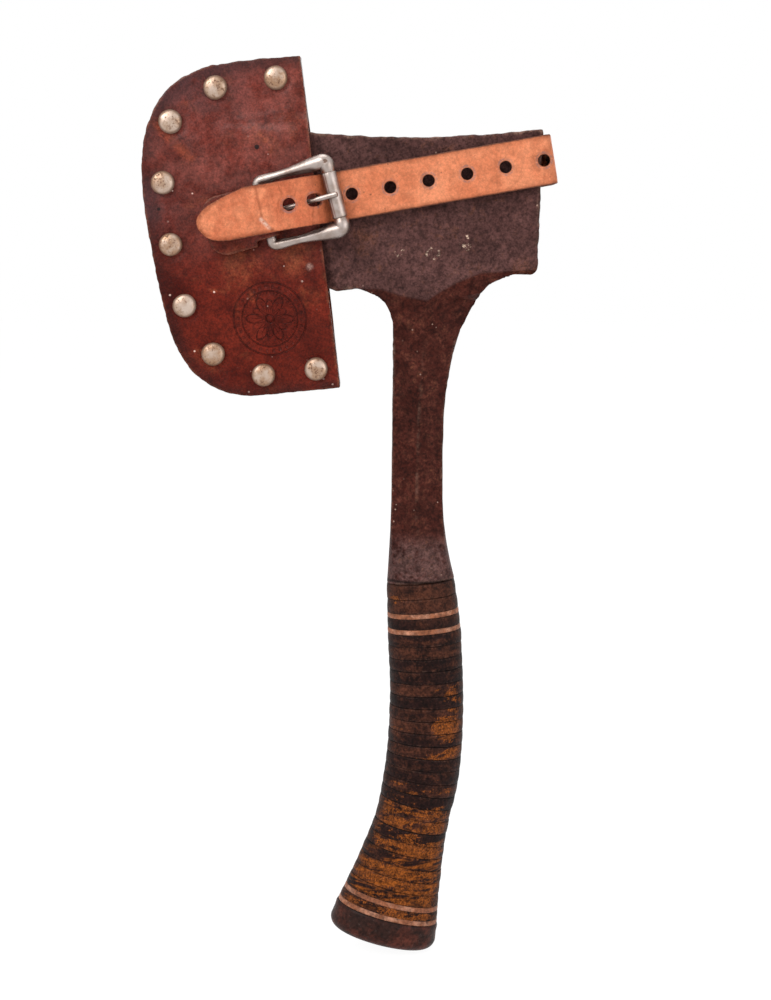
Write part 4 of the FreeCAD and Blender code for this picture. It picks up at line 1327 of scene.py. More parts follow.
@dataclass(frozen=True)
class CapLeather(Finish):
    """Hard, nearly black butt cap, faintly mottled with purple and red."""

    black: Colour = (0.0260, 0.0105, 0.0080)
    red: Colour = (0.085, 0.0225, 0.0145)
    worn: Colour = (0.120, 0.080, 0.070)
    middle: Cloud = Cloud(7.0, 51.0, 5.0, 0.65, 0.5)
    fine: Cloud = Cloud(1.5, 52.0, 4.0, 0.7)
    grit: Cloud = Cloud(1.3, 54.0, rough=0.6)
    specular: float = 0.10

    def paint(self, nodes: Paint) -> None:
        """Writes the nodes of the finish.

        Args:
            nodes: Nodes of the material.
        """
        middle, fine = nodes.cloud(self.middle), nodes.cloud(self.fine)
        colour = nodes.mix(middle.step(0.42, 0.66), self.black, self.red)
        colour = colour.over(self.worn, fine.step(0.56, 0.7) * 0.4)
        colour = colour.shade(0.5 + 0.95 * nodes.grit(self.grit))
        colour = colour.shade(1.0 - 0.7 * nodes.field(Mark.JOINT))
        rough, height = 0.44 + 0.25 * (fine - 0.5), 0.08 * fine + 0.15 * middle
        nodes.finish(colour, rough, height, self.specular)


@dataclass(frozen=True)
class AgedMetal(Finish):
    """Plated metal that is worn, scratched and spotted with brown tarnish."""

    bright: Colour = (0.66, 0.54, 0.46)
    warm: Colour = (0.44, 0.29, 0.20)
    tarnish: Colour = (0.13, 0.058, 0.030)
    brass: Colour = (0.36, 0.205, 0.120)
    middle: Cloud = Cloud(4.0, 61.0, 4.0, 0.6)
    fine: Cloud = Cloud(0.9, 62.0, 4.0, 0.7)
    scratching: Cloud = Cloud(0.35, 63.0, 2.0, 0.5, 0.0, (0.15, 1.0, 1.0))
    spots: float = 0.50
    gloss: float = 0.30
    specular: float = 0.5

    def paint(self, nodes: Paint) -> None:
        """Writes the nodes of the finish.

        Args:
            nodes: Nodes of the material.
        """
        middle, fine = nodes.cloud(self.middle), nodes.cloud(self.fine)
        colour = nodes.mix(middle.step(0.35, 0.68), self.bright, self.warm)
        brassy = nodes.field(Mark.TONE) * (0.35 + 0.65 * middle.step(0.36, 0.6))
        colour = colour.over(self.brass, brassy)
        speckle = (fine * 0.6 + middle * 0.4).step(self.spots, self.spots + 0.1)
        # On the rivet caps the marked rim and dome side also darken, as painted shade with tarnish.
        dull = speckle.larger(nodes.field(Mark.EDGE).step(0.0, -0.45))
        colour = colour.over(self.tarnish, dull * 0.8)
        rough = self.gloss + 0.25 * (fine - 0.4) + 0.35 * dull
        height = 0.03 * fine + 0.05 * middle + 0.012 * nodes.cloud(self.scratching)
        nodes.finish(colour, rough, height, self.specular, 1.0 - 0.65 * dull)


FORGED = ForgedSteel("forged_patina", "forged_steel")
SHEATH = SheathLeather("sheath_leather_oiled", "sheath_leather")
STRAP = StrapLeather("strap_leather_tan", "strap_leather")
WASHER = WasherLeather("washer_leather_worn", "grip_leather")
SPACER = SpacerFibre("spacer_fibre_pale", "spacer")
CAP = CapLeather("butt_cap_hard", "cap_leather")
RIVET = AgedMetal("rivet_metal_aged", "rivet_brass", bright=(0.60, 0.48, 0.40),
                  warm=(0.40, 0.26, 0.175), gloss=0.34)
BUCKLE = AgedMetal("buckle_metal_worn", "buckle_nickel", bright=(0.44, 0.375, 0.345),
                   warm=(0.31, 0.24, 0.205), spots=0.62, gloss=0.38)


# The pieces


def fitted(name: str, mesh: Mesh, finish: Finish, node: str, body: Body) -> Object:
    """Piece that takes the place of a node and rides on a body.

    Args:
        name: Name of the piece.
        mesh: Its mesh.
        finish: Its finish, which also tells its slot.
        node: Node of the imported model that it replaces.
        body: Body that it rides on.

    Returns:
        The piece.
    """
    piece = new_piece(name, mesh)
    finish.dress(piece)
    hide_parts(node)
    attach(piece, body.value)
    return piece


@dataclass
class Assembly:
    """Sub-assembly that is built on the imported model."""

    model: Model

    def build(self) -> list[Object]:
        """Builds and dresses its pieces."""
        raise NotImplementedError


@dataclass
class Head(Assembly):
    """Forged head, shank and tang, in one piece."""

    grain: float = 0.6
    passes: int = 6
    neck_passes: int = 90
    neck_low: Span = (176.0, 186.0)
    neck_top: Span = (216.0, 206.0)
    neck_left: Span = (-30.0, -20.0)
    neck_right: Span = (52.0, 44.0)
    shown_low: Span = (84.0, 96.0)
    shown_left: Span = (-84.0, -60.0)
    dents: tuple[Relief, ...] = (Relief(0.18, 17.0, 3), Relief(0.10, 7.0, 4))
    rags: tuple[Relief, ...] = (Relief(0.20, 5.0, 5), Relief(0.14, 2.6, 6))
    ragged_z: Span = (120.0, 200.0)
    cheek_step: float = 0.65
    cheek_fillet: Span = (16.0, 3.0)
    cheek_line: Line = (
        (-60.0, 198.6), (-35.6, 198.0), (-17.3, 197.9), (-9.3, 195.5), (1.1, 193.4), (5.9, 196.7),
        (13.4, 200.9), (22.6, 204.5), (42.5, 205.5), (50.0, 205.7))
    ridge_line: Line = ((1.1, 193.4), (-0.1, 183.4), (-2.4, 145.6), (-3.1, 122.1), (-3.4, 104.0))
    ridge_width: float = 0.6
    ridge_wear_and_highlight: float = 0.16
    cutting_x: float = -96.5
    cutting_middle: float = 222.0
    cutting_sweep: float = 13.0
    cutting_turn: Span = (18.0, 60.0)
    honed_width: float = 7.0
    honed_fade: float = 3.0
    honed_z: Span = (150.0, 170.0)

    def neck(self, points: Array) -> Array:
        """1 on the neck round the V under the cheek, 0 away from it."""
        height = fade(points[:, 2], *self.neck_low) * fade(points[:, 2], *self.neck_top)
        return height * fade(points[:, 0], *self.neck_left) * fade(points[:, 0], *self.neck_right)

    def under_cheek(self, points: Array) -> Array:
        """How far each point lies below the lower edge of the cheek."""
        line = np.array(self.cheek_line)
        return np.interp(points[:, 0], line[:, 0], line[:, 1]) - points[:, 2]

    def hammer(self, mesh: Mesh, flat: Array, under: Array) -> None:
        """Gives the forging its dents, its ragged rims and the step under the cheek.

        Args:
            mesh: Its mesh.
            flat: 1 on its flat sides, 0 on its rims.
            under: How far each point lies below the cheek.
        """
        points = read_points(mesh)
        ragged = uneven(points, self.rags) * fade(points[:, 2], *self.ragged_z)
        inward = self.cheek_step * fade(under, -0.5, 0.5) * fade(under, *self.cheek_fillet) * flat
        move = uneven(points, self.dents) * (0.35 + 0.65 * flat) + ragged * (1.0 - flat) - inward
        shown = fade(points[:, 2], *self.shown_low) * fade(points[:, 0], *self.shown_left)
        write_points(mesh, points + read_normals(mesh) * (move * shown)[:, None])

    def mark(self, mesh: Mesh, flat: Array, under: Array, neck: Array) -> None:
        """Keeps what the finish needs: worn edges with a painted highlight along the ridge, the
        part below the cheek, painted as shade and darker steel, and the honed edge.

        Args:
            mesh: Its mesh.
            flat: 1 on its flat sides, 0 on its rims.
            under: How far each point lies below the cheek.
            neck: 1 on the neck, 0 away from it.
        """
        points = read_points(mesh)
        ridge = bump(line_distance(points, self.ridge_line), self.ridge_width)
        worn = worn_edges(mesh, self.grain) * (1.0 - neck)
        # The ridge line adds wear and a painted highlight to the worn-edge mark.
        store(mesh, Mark.EDGE, worn + self.ridge_wear_and_highlight * ridge * flat)
        # Mask below the cheek line, which the finish darkens as painted shade and darker steel.
        store(mesh, Mark.SHADE_AND_TONE_BELOW, fade(under, -0.6, 0.6))
        turned = fade(np.abs(points[:, 2] - self.cutting_middle), *self.cutting_turn)
        inside = points[:, 0] - self.cutting_x - self.cutting_sweep * turned
        honed = fade(inside, self.honed_width + self.honed_fade, self.honed_width)
        store(mesh, Mark.HONED, honed * fade(points[:, 2], *self.honed_z))

    def build(self) -> list[Object]:
        """Shapes the forging and dresses it.

        Returns:
            The piece.
        """
        mesh = self.model.softened(["forged_body"], self.grain, self.passes)
        neck = self.neck(read_points(mesh))
        write_points(mesh, calmed(mesh, self.neck_passes, neck * fade(flatness(mesh), 0.15, 0.55)))
        flat, under = fade(flatness(mesh), 0.6, 0.9), self.under_cheek(read_points(mesh))
        self.hammer(mesh, flat, under)
        self.mark(mesh, flat, under, neck)
        return [fitted("forging", mesh, FORGED, "forged_body", Body.HATCHET)]


@dataclass
class Grip(Assembly):
    """Stack of leather washers and spacer rings on the tang, and the butt cap."""

    top: float = 78.6
    drop: float = 141.4
    width: float = 30.4
    depth: float = 25.0
    bend: float = 15.0
    top_shift: float = -1.0
    sides: int = 112
    bore_width: float = 12.6
    bore_depth: float = 7.6
    first_washer: float = 6.0
    upper_band_washer: float = 4.6
    lower_band_washer: float = 3.7
    spacer: float = 2.0
    main_washers: int = 22
    groove: float = 0.26
    washer_edges: Span = (0.25, 1.0)
    spacer_edge: float = 0.3
    washer_growth: float = 0.09
    spacer_growth: float = -0.04
    washer_shift: Span = (0.10, 0.06)
    washer_crown: float = 0.10
    spacer_crown: float = 0.03
    rim: float = 0.16
    shoulder: float = 0.1
    shoulder_wear: float = 0.6
    washer_relief: float = 0.07
    spacer_relief: float = 0.03
    relief_length: float = 6.0
    cap_thickness: float = 12.0
    cap_edge: float = 4.6
    cap_flare: float = 1.2
    steps: int = 700
    shares: tuple[tuple[float, float, float, float], ...] = (
        (0.0, 0.0, 0.911, 0.92),
        (0.13, 0.09, 0.99, 0.984),
        (0.29, 0.167, 0.998, 1.0),
        (0.44, 0.157, 1.013, 1.0),
        (0.58, 0.04, 1.026, 1.016),
        (0.725, -0.24, 1.01, 1.024),
        (0.875, -0.60, 1.19, 1.06),
        (1.0, -0.907, 1.414, 1.14),
    )

    def __post_init__(self) -> None:
        """Works out how far each share of the drop lies along the curved centre line."""
        self.share_steps = np.linspace(0.0, 1.0, self.steps + 1)
        line = np.array([self.centre(share) for share in self.share_steps])
        lengths = np.linalg.norm(np.diff(line, axis=0), axis=1)
        self.runs = np.concatenate([[0.0], np.cumsum(lengths)])

    def form(self, share: float) -> tuple[float, float, float]:
        """Side shift, width and depth at a share of the drop, on smooth curves through the table.

        Args:
            share: Share of the way down the stack.

        Returns:
            The three values as shares of their sizes.
        """
        rows = self.shares
        i = max(k for k in range(len(rows) - 1) if k == 0 or rows[k][0] <= share)
        a, b = rows[i], rows[i + 1]
        before, after = rows[max(i - 1, 0)], rows[min(i + 2, len(rows) - 1)]
        span = b[0] - a[0]
        t = (share - a[0]) / span
        made = []
        for k in (1, 2, 3):
            slope_a = (b[k] - before[k]) / (b[0] - before[0]) * span
            slope_b = (after[k] - a[k]) / (after[0] - a[0]) * span
            made.append((2 * t**3 - 3 * t**2 + 1) * a[k] + (t**3 - 2 * t**2 + t) * slope_a
                        + (3 * t**2 - 2 * t**3) * b[k] + (t**3 - t**2) * slope_b)
        return made[0], made[1], made[2]

    def centre(self, share: float) -> Array:
        """Middle of the stack at a share of its drop."""
        across = self.top_shift + self.bend * self.form(share)[0]
        return np.array([across, 0.0, self.top - self.drop * share])

    def share_at(self, run: float) -> float:
        """Share of the drop at a length along the centre line."""
        return float(np.interp(run, self.runs, self.share_steps))

    def oval(self, share: float, grow: float = 0.0, down: float = 0.0, bore: bool = False,
             shift: Point = (0.0, 0.0, 0.0)) -> Array:
        """Ring of points round the stack.

        Args:
            share: Share of the drop.
            grow: How far the ring lies outside the plain form.
            down: How far it is moved down the axis.
            bore: Whether it is the bore for the tang instead.
            shift: Side step of the whole ring.

        Returns:
            One row for each point.
        """
        axis = self.centre(min(1.0, share + 0.01)) - self.centre(max(0.0, share - 0.01))
        axis /= np.linalg.norm(axis)
        across, forward = np.array([-axis[2], 0.0, axis[0]]), np.array([0.0, 1.0, 0.0])
        _, width, depth = self.form(share)
        a, b = self.width * width / 2.0 + grow, self.depth * depth / 2.0 + grow
        if bore:
            a, b = self.bore_width / 2.0, self.bore_depth / 2.0
        turn = circle(self.sides)[:, None]
        middle = self.centre(share) + axis * down + np.array(shift)
        return middle + np.cos(turn) * a * across + np.sin(turn) * b * forward

    def stack(self) -> list[tuple[RingKind, float]]:
        """Kinds and thicknesses of the rings.

        Returns:
            One pair for each ring, from the shank down to the butt cap.
        """
        washer, spacer = RingKind.WASHER, (RingKind.SPACER, self.spacer)
        upper = [(washer, self.first_washer), (washer, self.first_washer), spacer,
                 (washer, self.upper_band_washer), spacer]
        lower = [spacer, (washer, self.lower_band_washer), spacer]
        left = self.runs[-1] - sum(size for _, size in upper + lower)
        return upper + [(washer, left / self.main_washers)] * self.main_washers + lower

    def profile(self, size: float, first: float, last: float,
                crown: float) -> list[tuple[float, float, float]]:
        """Form of a ring's outer face, which sinks to a groove at both joints.

        Args:
            size: Thickness of the ring.
            first: Share of the full groove at its upper edge.
            last: Share of the full groove at its lower edge.
            crown: How far its middle bulges.

        Returns:
            Share of the thickness, height outward and depth in the joint, row by row.
        """
        rim, top, foot = self.rim / size, self.groove * first, self.groove * last
        side = 0.45 * crown
        return [(0.0, -top, first), (rim, -0.5 * top, 0.9 * first),
                (2.2 * rim, -0.1 * top, self.shoulder),
                (0.25, side, 0.0), (0.5, crown, 0.0), (0.75, side, 0.0),
                (1.0 - 2.2 * rim, -0.1 * foot, self.shoulder),
                (1.0 - rim, -0.5 * foot, 0.9 * last), (1.0, -foot, last)]

    def ring(self, name: str, kind: RingKind, start: float, size: float,
             rng: random.Random) -> Mesh:
        """Mesh of one washer or spacer.

        Args:
            name: Not used.
            kind: Washer or spacer.
            start: Length along the centre line at which it begins.
            size: Its thickness.
            rng: Source of its small unevenness.

        Returns:
            The mesh.
        """
        first = last = self.spacer_edge
        grow, crown, relief = self.spacer_growth, self.spacer_crown, self.spacer_relief
        shift = (0.0, 0.0, 0.0)
        if kind is RingKind.WASHER:
            first, last = rng.uniform(*self.washer_edges), rng.uniform(*self.washer_edges)
            grow = rng.uniform(-self.washer_growth, self.washer_growth)
            across, forward = (rng.uniform(-reach, reach) for reach in self.washer_shift)
            shift, crown, relief = (across, forward, 0.0), self.washer_crown, self.washer_relief
        rows = self.profile(size, first, last, crown)
        shares = [self.share_at(start + size * place) for place, _, _ in rows]
        rings = [self.oval(share, grow + rise, shift=shift)
                 for share, (_, rise, _) in zip(shares, rows)]
        waves = Relief(relief, self.relief_length, rng.randrange(1 << 20))
        heights = waves.at(np.concatenate(rings)).reshape(len(rings), self.sides, 1)
        for ring, height in zip(rings, heights):
            outward = ring - ring.mean(axis=0)
            ring += outward / np.linalg.norm(outward, axis=1)[:, None] * height
        rings = [self.oval(shares[0], bore=True), *rings, self.oval(shares[-1], bore=True)]
        mesh = mesh_of_rings(rings)
        joints = [joint for _, _, joint in rows]
        shoulders = [self.shoulder_wear * (joint == self.shoulder) for joint in joints]
        store(mesh, Mark.JOINT, np.repeat([1.0, *joints, 1.0], self.sides))
        store(mesh, Mark.TONE, np.full(len(mesh.vertices), rng.random()))
        # How squarely each point faces front or back, which the washer finish uses for painted
        # shade at the sides.
        store(mesh, Mark.FACING, np.tile(np.abs(np.sin(circle(self.sides))), len(rings)))
        store(mesh, Mark.EDGE, np.repeat([0.0, *shoulders, 0.0], self.sides))
        return mesh

    def build_stack(self) -> list[Object]:
        """Builds and dresses the washers and spacers.

        Returns:
            The pieces, from the shank down.
        """
        rng = random.Random(7)
        run = 0.0
        counts = {kind: 0 for kind in RingKind}
        nodes = {RingKind.WASHER: "leather_washer", RingKind.SPACER: "spacer_ring"}
        finishes = {RingKind.WASHER: WASHER, RingKind.SPACER: SPACER}
        pieces = []
        for kind, size in self.stack():
            counts[kind] += 1
            name = f"grip_{kind.value}_{counts[kind]:02d}"
            node = f"{nodes[kind]}_{counts[kind]:02d}"
            mesh = self.ring(name, kind, run, size, rng)
            pieces.append(fitted(name, mesh, finishes[kind], node, Body.HATCHET))
            run += size
        return pieces

    def build_cap(self) -> Object:
        """Builds and dresses the domed butt cap.

        Returns:
            The piece.
        """
        body = self.cap_thickness - self.cap_edge
        rings = [self.oval(1.0, -self.groove), self.oval(1.0, 0.15, 0.35), self.oval(1.0, 0.5, 1.2)]
        rings += [self.oval(1.0, self.cap_flare * share, body * share) for share in (0.5, 0.8, 1.0)]
        for turn in np.radians(np.linspace(0.0, 84.0, 12))[1:]:
            inward = self.cap_edge * (1.0 - math.cos(turn))
            down = body + self.cap_edge * math.sin(turn)
            rings.append(self.oval(1.0, self.cap_flare - inward, down))
        last = rings[-1]
        middle = last.mean(axis=0)
        rings += [middle + (last - middle) * share for share in (0.85, 0.7, 0.52)]
        rings = [self.oval(1.0, bore=True), *rings,
                 self.oval(1.0, down=self.cap_thickness, bore=True)]
        mesh = mesh_of_rings(rings)
        joints = np.zeros(len(rings))
        joints[:3] = (1.0, 1.0, 0.5)
        store(mesh, Mark.JOINT, np.repeat(joints, self.sides))
        return fitted("grip_butt_cap", mesh, CAP, "butt_cap", Body.HATCHET)

    def build(self) -> list[Object]:
        """Builds the whole grip."""
        return [*self.build_stack(), self.build_cap()]


@dataclass
class Sheath(Assembly):
    """Two leather panels on a welt, held by rivets along the curved edge."""

    mouth_low: float = -33.8
    mouth_top: float = -49.1
    low: float = 156.0
    height: float = 133.4
    depth: float = 78.6
    grain: float = 0.6
    passes: int = 5
    calm_passes: int = 60
    calm_rim: Span = (2.0, 7.0)
    frays: tuple[Relief, ...] = (Relief(0.16, 5.0, 11), Relief(0.08, 2.4, 12))
    waves: tuple[Relief, ...] = (Relief(0.22, 24.0, 13), Relief(0.07, 9.0, 14))
    highest_wave: float = 0.25
    rivet_dent: float = 0.42
    rivet_dent_width: float = 1.7
    rivet_dent_gap: float = 0.5
    inside_y: Span = (2.5, 4.5)
    cap_radius: float = 4.7
    cap_rim: float = 0.5
    cap_dome: float = 1.5
    cap_sides: int = 64
    cap_shade_and_tarnish: Span = (0.34, 0.10)
    post_grain: float = 0.3
    post_passes: int = 5
    streak_line: Line = ((-114.0, 269.5), (-103.5, 260.0), (-93.0, 250.0))
    streak_reach: Span = (3.0, 0.4)
    edge_shares: Line = (
        (0.195, 1.0), (0.345, 0.994), (0.53, 0.982), (0.70, 0.962), (0.86, 0.905), (0.965, 0.805),
        (1.0, 0.685), (0.99, 0.56), (0.93, 0.345), (0.855, 0.165), (0.75, 0.062), (0.60, 0.006),
        (0.46, -0.006), (0.21, 0.006), (0.0, 0.018))

    def outline(self) -> list[Span]:
        """X and Z of the curved edge of the panels."""
        return [(self.mouth_low - self.depth * across, self.low + self.height * up)
                for across, up in self.edge_shares]

    def dented(self, points: Array, rivets: Sequence[Array]) -> Array:
        """How far a panel's face waves outward, and dents round its rivets.

        Args:
            points: Points of the panel.
            rivets: Middles of the rivet caps.

        Returns:
            One height for each point.
        """
        height = uneven(points, self.waves)
        for rivet in rivets:
            reach = np.hypot(points[:, 0] - rivet[0], points[:, 2] - rivet[2])
            gap = reach - self.cap_radius - self.rivet_dent_gap
            height -= self.rivet_dent * bump(gap, self.rivet_dent_width)
        return np.minimum(height, self.highest_wave)

    def shape_leather(self, mesh: Mesh, face: Face | None, rivets: Sequence[Array]) -> None:
        """Works the leather of a panel or welt.

        Args:
            mesh: Its mesh.
            face: Which side the panel is on, or nothing for the welt.
            rivets: Middles of the rivet caps.
        """
        normals = read_normals(mesh)
        rim = line_distance(read_points(mesh), self.outline())
        flat = fade(flatness(mesh), 0.7, 0.95)
        points = calmed(mesh, self.calm_passes, fade(rim, *self.calm_rim) * flat)
        sideways = normals * np.array([1.0, 0.0, 1.0])
        points = points + sideways * (uneven(points, self.frays) * fade(rim, 3.0, 0.5))[:, None]
        if face is not None:
            outer = fade(normals[:, 1] * face.value, 0.4, 0.8)
            settle = fade(np.abs(points[:, 1]), *self.inside_y)
            points[:, 1] += face.value * self.dented(points, rivets) * outer * settle
        write_points(mesh, points)
        slope = (self.mouth_top - self.mouth_low) / self.height
        mouth = self.mouth_low + slope * (points[:, 2] - self.low)
        streak = fade(line_distance(points, self.streak_line), *self.streak_reach)
        store(mesh, Mark.RIM, rim)
        store(mesh, Mark.STREAK, streak * (points[:, 1] < 0.0))
        store(mesh, Mark.MOUTH, np.abs(points[:, 0] - mouth))
        store(mesh, Mark.EDGE, worn_edges(mesh, self.grain))
        store(mesh, Mark.CUT, fade(flatness(mesh), 0.6, 0.3))

    def build_panels(self, rivets: Sequence[Array]) -> list[Object]:
        """Builds and dresses the two panels and the welt.

        Args:
            rivets: Middles of the rivet caps.

        Returns:
            The pieces.
        """
        pieces = []
        for name, node, face in (("sheath_front", "front_panel", Face.FRONT),
                                 ("sheath_back", "back_panel", Face.BACK),
                                 ("sheath_welt", "welt", None)):
            mesh = self.model.softened([node], self.grain, self.passes)
            self.shape_leather(mesh, face, rivets)
            pieces.append(fitted(name, mesh, SHEATH, node, Body.SHEATH))
        return pieces

    def cap_rings(self, place: Array, seat: float, sense: float, rng: random.Random) -> list[Array]:
        """Rings of one domed rivet cap.

        Args:
            place: Middle of the cap.
            seat: Y of the face that it sits on.
            sense: Sign of Y on its side.
            rng: Source of its small unevenness.

        Returns:
            The rings from the seat outward.
        """
        radius = self.cap_radius * rng.uniform(0.985, 1.01)
        profile = [(0.97, 0.0), (1.0, 0.12), (1.0, self.cap_rim * 0.7)]
        profile += [(math.cos(turn), self.cap_rim + self.cap_dome * math.sin(turn))
                    for turn in np.radians(np.linspace(8.0, 88.0, 13))]
        turn = circle(self.cap_sides)
        two_sided = 0.012 * np.sin(2.0 * turn + rng.uniform(0.0, 6.0))
        wobble = 1.0 + two_sided + 0.008 * np.sin(3.0 * turn + rng.uniform(0.0, 6.0))
        across, up = radius * wobble * np.cos(turn), radius * wobble * np.sin(turn)
        return [np.stack([place[0] + share * across, np.full(self.cap_sides, seat + sense * rise),
                          place[2] + share * up], axis=1) for share, rise in profile]

    def cap_mesh(self, points: Array, rng: random.Random) -> Mesh:
        """Mesh of one domed rivet cap, with its tone and a darkened rim and dome side, painted as
        shade with tarnish.

        Args:
            points: Points of the plain cap.
            rng: Source of its small unevenness.

        Returns:
            The mesh.
        """
        place = points.mean(axis=0)
        sense = math.copysign(1.0, place[1])
        seat = points[:, 1].max() if sense < 0.0 else points[:, 1].min()
        mesh = mesh_of_rings(self.cap_rings(place, seat, sense, rng), capped=True)
        store(mesh, Mark.TONE, np.full(len(mesh.vertices), rng.uniform(0.0, 0.9)))
        across, up = (read_points(mesh)[:, (0, 2)] - place[[0, 2]]).T
        reach = np.hypot(across, up) / self.cap_radius
        rim, dome = self.cap_shade_and_tarnish
        # Painted shade with tarnish: dark round the cap's base and fainter over the side of its
        # dome.
        store(mesh, Mark.EDGE, -rim * fade(reach, 0.72, 1.0) - dome * fade(reach, 0.35, 0.72))
        return mesh

    def build_rivets(self, islands: Sequence[Array]) -> list[Object]:
        """Builds and dresses the domed caps and what holds them.

        Args:
            islands: Points of each plain cap.

        Returns:
            The pieces.
        """
        rng = random.Random(5)
        shape = bmesh.new()
        for points in islands:
            one = self.cap_mesh(points, rng)
            shape.from_mesh(one)
            bpy.data.meshes.remove(one)
        caps = take_mesh(shape, "caps")
        posts = self.model.softened(["edge_rivet_posts"], self.post_grain, self.post_passes)
        store(posts, Mark.EDGE, worn_edges(posts, self.post_grain))
        return [fitted("rivet_caps", caps, RIVET, "edge_rivet_caps", Body.SHEATH),
                fitted("rivet_posts", posts, RIVET, "edge_rivet_posts", Body.SHEATH)]

    def build(self) -> list[Object]:
        """Builds the whole sheath.

        Returns:
            Its panels, welt and rivets.
        """
        islands = self.model.islands("edge_rivet_caps")
        rivets = [points.mean(axis=0) for points in islands]
        return [*self.build_panels(rivets), *self.build_rivets(islands)]


@dataclass
class Strap(Assembly):
    """Strap round the poll: a leg riveted behind, a free stretch with holes and a pointed tail."""

    centre_x: float = -35.2
    centre_z: float = 234.3
    tilt: float = 9.77
    width: float = 19.4
    split_back: float = 76.0
    split_tail: float = -25.6
    grain: float = 0.5
    passes: int = 5
    waves: tuple[Relief, ...] = (Relief(0.10, 13.0, 31), Relief(0.04, 5.0, 32))
    first_hole: float = 6.6
    pitch: float = 15.3
    straight_holes: int = 6
    other_holes: Span = (-18.1, -8.2)
    rim_gap: Span = (2.9, 3.4)
    under_roller: float = -4.4
    roller_bend: float = 1.3
    held_tail: float = 4.0
    held_front: Span = (4.0, 0.0)
    hole_room: float = 0.2
    crease_width: float = 0.55
    wear_and_shade_tail: Span = (-28.0, -24.0)
    wear_and_shade_front: Span = (-2.0, -6.0)
    far_away: float = 99.0
    poll_y: Span = (12.6, -2.0)
    tail_overlap: float = 0.2
    tail_bend: float = 5.0
    crease_line: Line = (
        (-66.2, 243.2), (-66.0, 237.0), (-64.8, 230.8), (-63.6, 225.6), (-60.8, 222.3),
        (-58.6, 220.6))
    tip_line: Line = (
        (-60.0, 220.3), (-75.8, 217.3), (-82.8, 217.1), (-86.3, 218.4), (-88.6, 220.6),
        (-89.9, 223.0), (-90.0, 225.0), (-88.3, 228.3), (-84.5, 231.5), (-76.5, 235.6),
        (-68.8, 238.4), (-62.0, 239.5))
    crest_highlight_line: Line = ((-64.2, 225.5), (-62.4, 223.6), (-60.9, 222.2))

    def along(self, points: Array) -> tuple[Array, Array]:
        """Places along the strap and across it.

        Args:
            points: Points in millimetres.

        Returns:
            Distance along from its origin, and distance across from its middle line.
        """
        along, across = level_axes(self.tilt)
        gaps = points - np.array([self.centre_x, 0.0, self.centre_z])
        return gaps @ along, gaps @ across

    def plane(self, place: float) -> tuple[Vector, Vector]:
        """Cut across the strap.

        Args:
            place: Where it is, along the strap.

        Returns:
            A point on the cut in metres, and its normal.
        """
        along = Vector(level_axes(self.tilt)[0])
        return (Vector((self.centre_x, 0.0, self.centre_z)) + along * place) * MM, along

    def mark(self, mesh: Mesh) -> None:
        """Keeps what the finish needs: holes, sides, cut edges, the crease with painted shade under
        the roller, a painted highlight on the crest, and painted shade with wear inside the buckle.

        Args:
            mesh: Mesh of the whole strap.
        """
        points = read_points(mesh)
        place, across = self.along(points)
        front = points[:, 1] < 0.0
        centres = [self.first_hole + self.pitch * i for i in range(self.straight_holes)]
        centres += self.other_holes
        hole = np.min([np.hypot(place - centre, across) for centre in centres], axis=0)
        store(mesh, Mark.HOLE, np.where(front, hole, self.far_away))
        store(mesh, Mark.SIDE, self.width / 2.0 - np.abs(across))
        tail = front & (place < self.split_tail)
        tip = line_distance(points, self.tip_line)
        store(mesh, Mark.TIP, np.where(tail, tip, self.far_away))
        sideways = np.abs(read_normals(mesh) @ level_axes(self.tilt)[1])
        store(mesh, Mark.CUT, fade(sideways, 0.45, 0.8) * fade(hole, *self.rim_gap))
        crease = bump(line_distance(points, self.crease_line), self.crease_width)
        # Crease over the heel bar, plus painted shade where the strap goes under the roller.
        bend = crease + 0.8 * bump(place - self.under_roller, self.roller_bend)
        store(mesh, Mark.CREASE_AND_ROLLER_SHADE, np.where(front, np.clip(bend, 0.0, 1.0), 0.0))
        # Crest over the heel bar, where the finish paints a highlight.
        crest = bump(line_distance(points, self.crest_highlight_line), self.crease_width)
        store(mesh, Mark.CREST_HIGHLIGHT, crest * front)
        # Inside the buckle window, which the finish darkens as painted shade and wear.
        store(mesh, Mark.BUCKLE_WEAR_AND_SHADE, fade(place, *self.wear_and_shade_tail) * fade(place, *self.wear_and_shade_front) * front)

    def worked(self) -> Mesh:
        """Mesh of the whole strap, waved, but flat and a little thinner where the buckle holds it.

        Returns:
            The mesh, marked for its finish.
        """
        mesh = self.model.softened(["strap_back", "strap_front", "strap_tip"], self.grain,
                                   self.passes)
        points = read_points(mesh)
        place, _ = self.along(points)
        held = fade(place, self.split_tail - self.held_tail, self.split_tail)
        held = held * fade(place, *self.held_front) * (points[:, 1] < 0.0)
        move = uneven(points, self.waves) * (1.0 - held) - self.hole_room * held
        write_points(mesh, points + read_normals(mesh) * move[:, None])
        self.mark(mesh)
        return mesh

    def whole(self) -> BMesh:
        """The strap in one piece, divided where its bodies meet.

        Returns:
            Its mesh, cut across at the two places.
        """
        mesh = self.worked()
        shape = bmesh.new()
        shape.from_mesh(mesh)
        bpy.data.meshes.remove(mesh)
        for cut, behind in ((self.split_back, True), (self.split_tail, False)):
            origin, normal = self.plane(cut)
            side = [face for face in shape.faces if (face.calc_center_median().y > 0.0) == behind]
            parts = side + list({edge for face in side for edge in face.edges})
            parts += list({vert for face in side for vert in face.verts})
            bmesh.ops.bisect_plane(shape, geom=parts, plane_co=origin, plane_no=normal, dist=1e-7)
        return shape

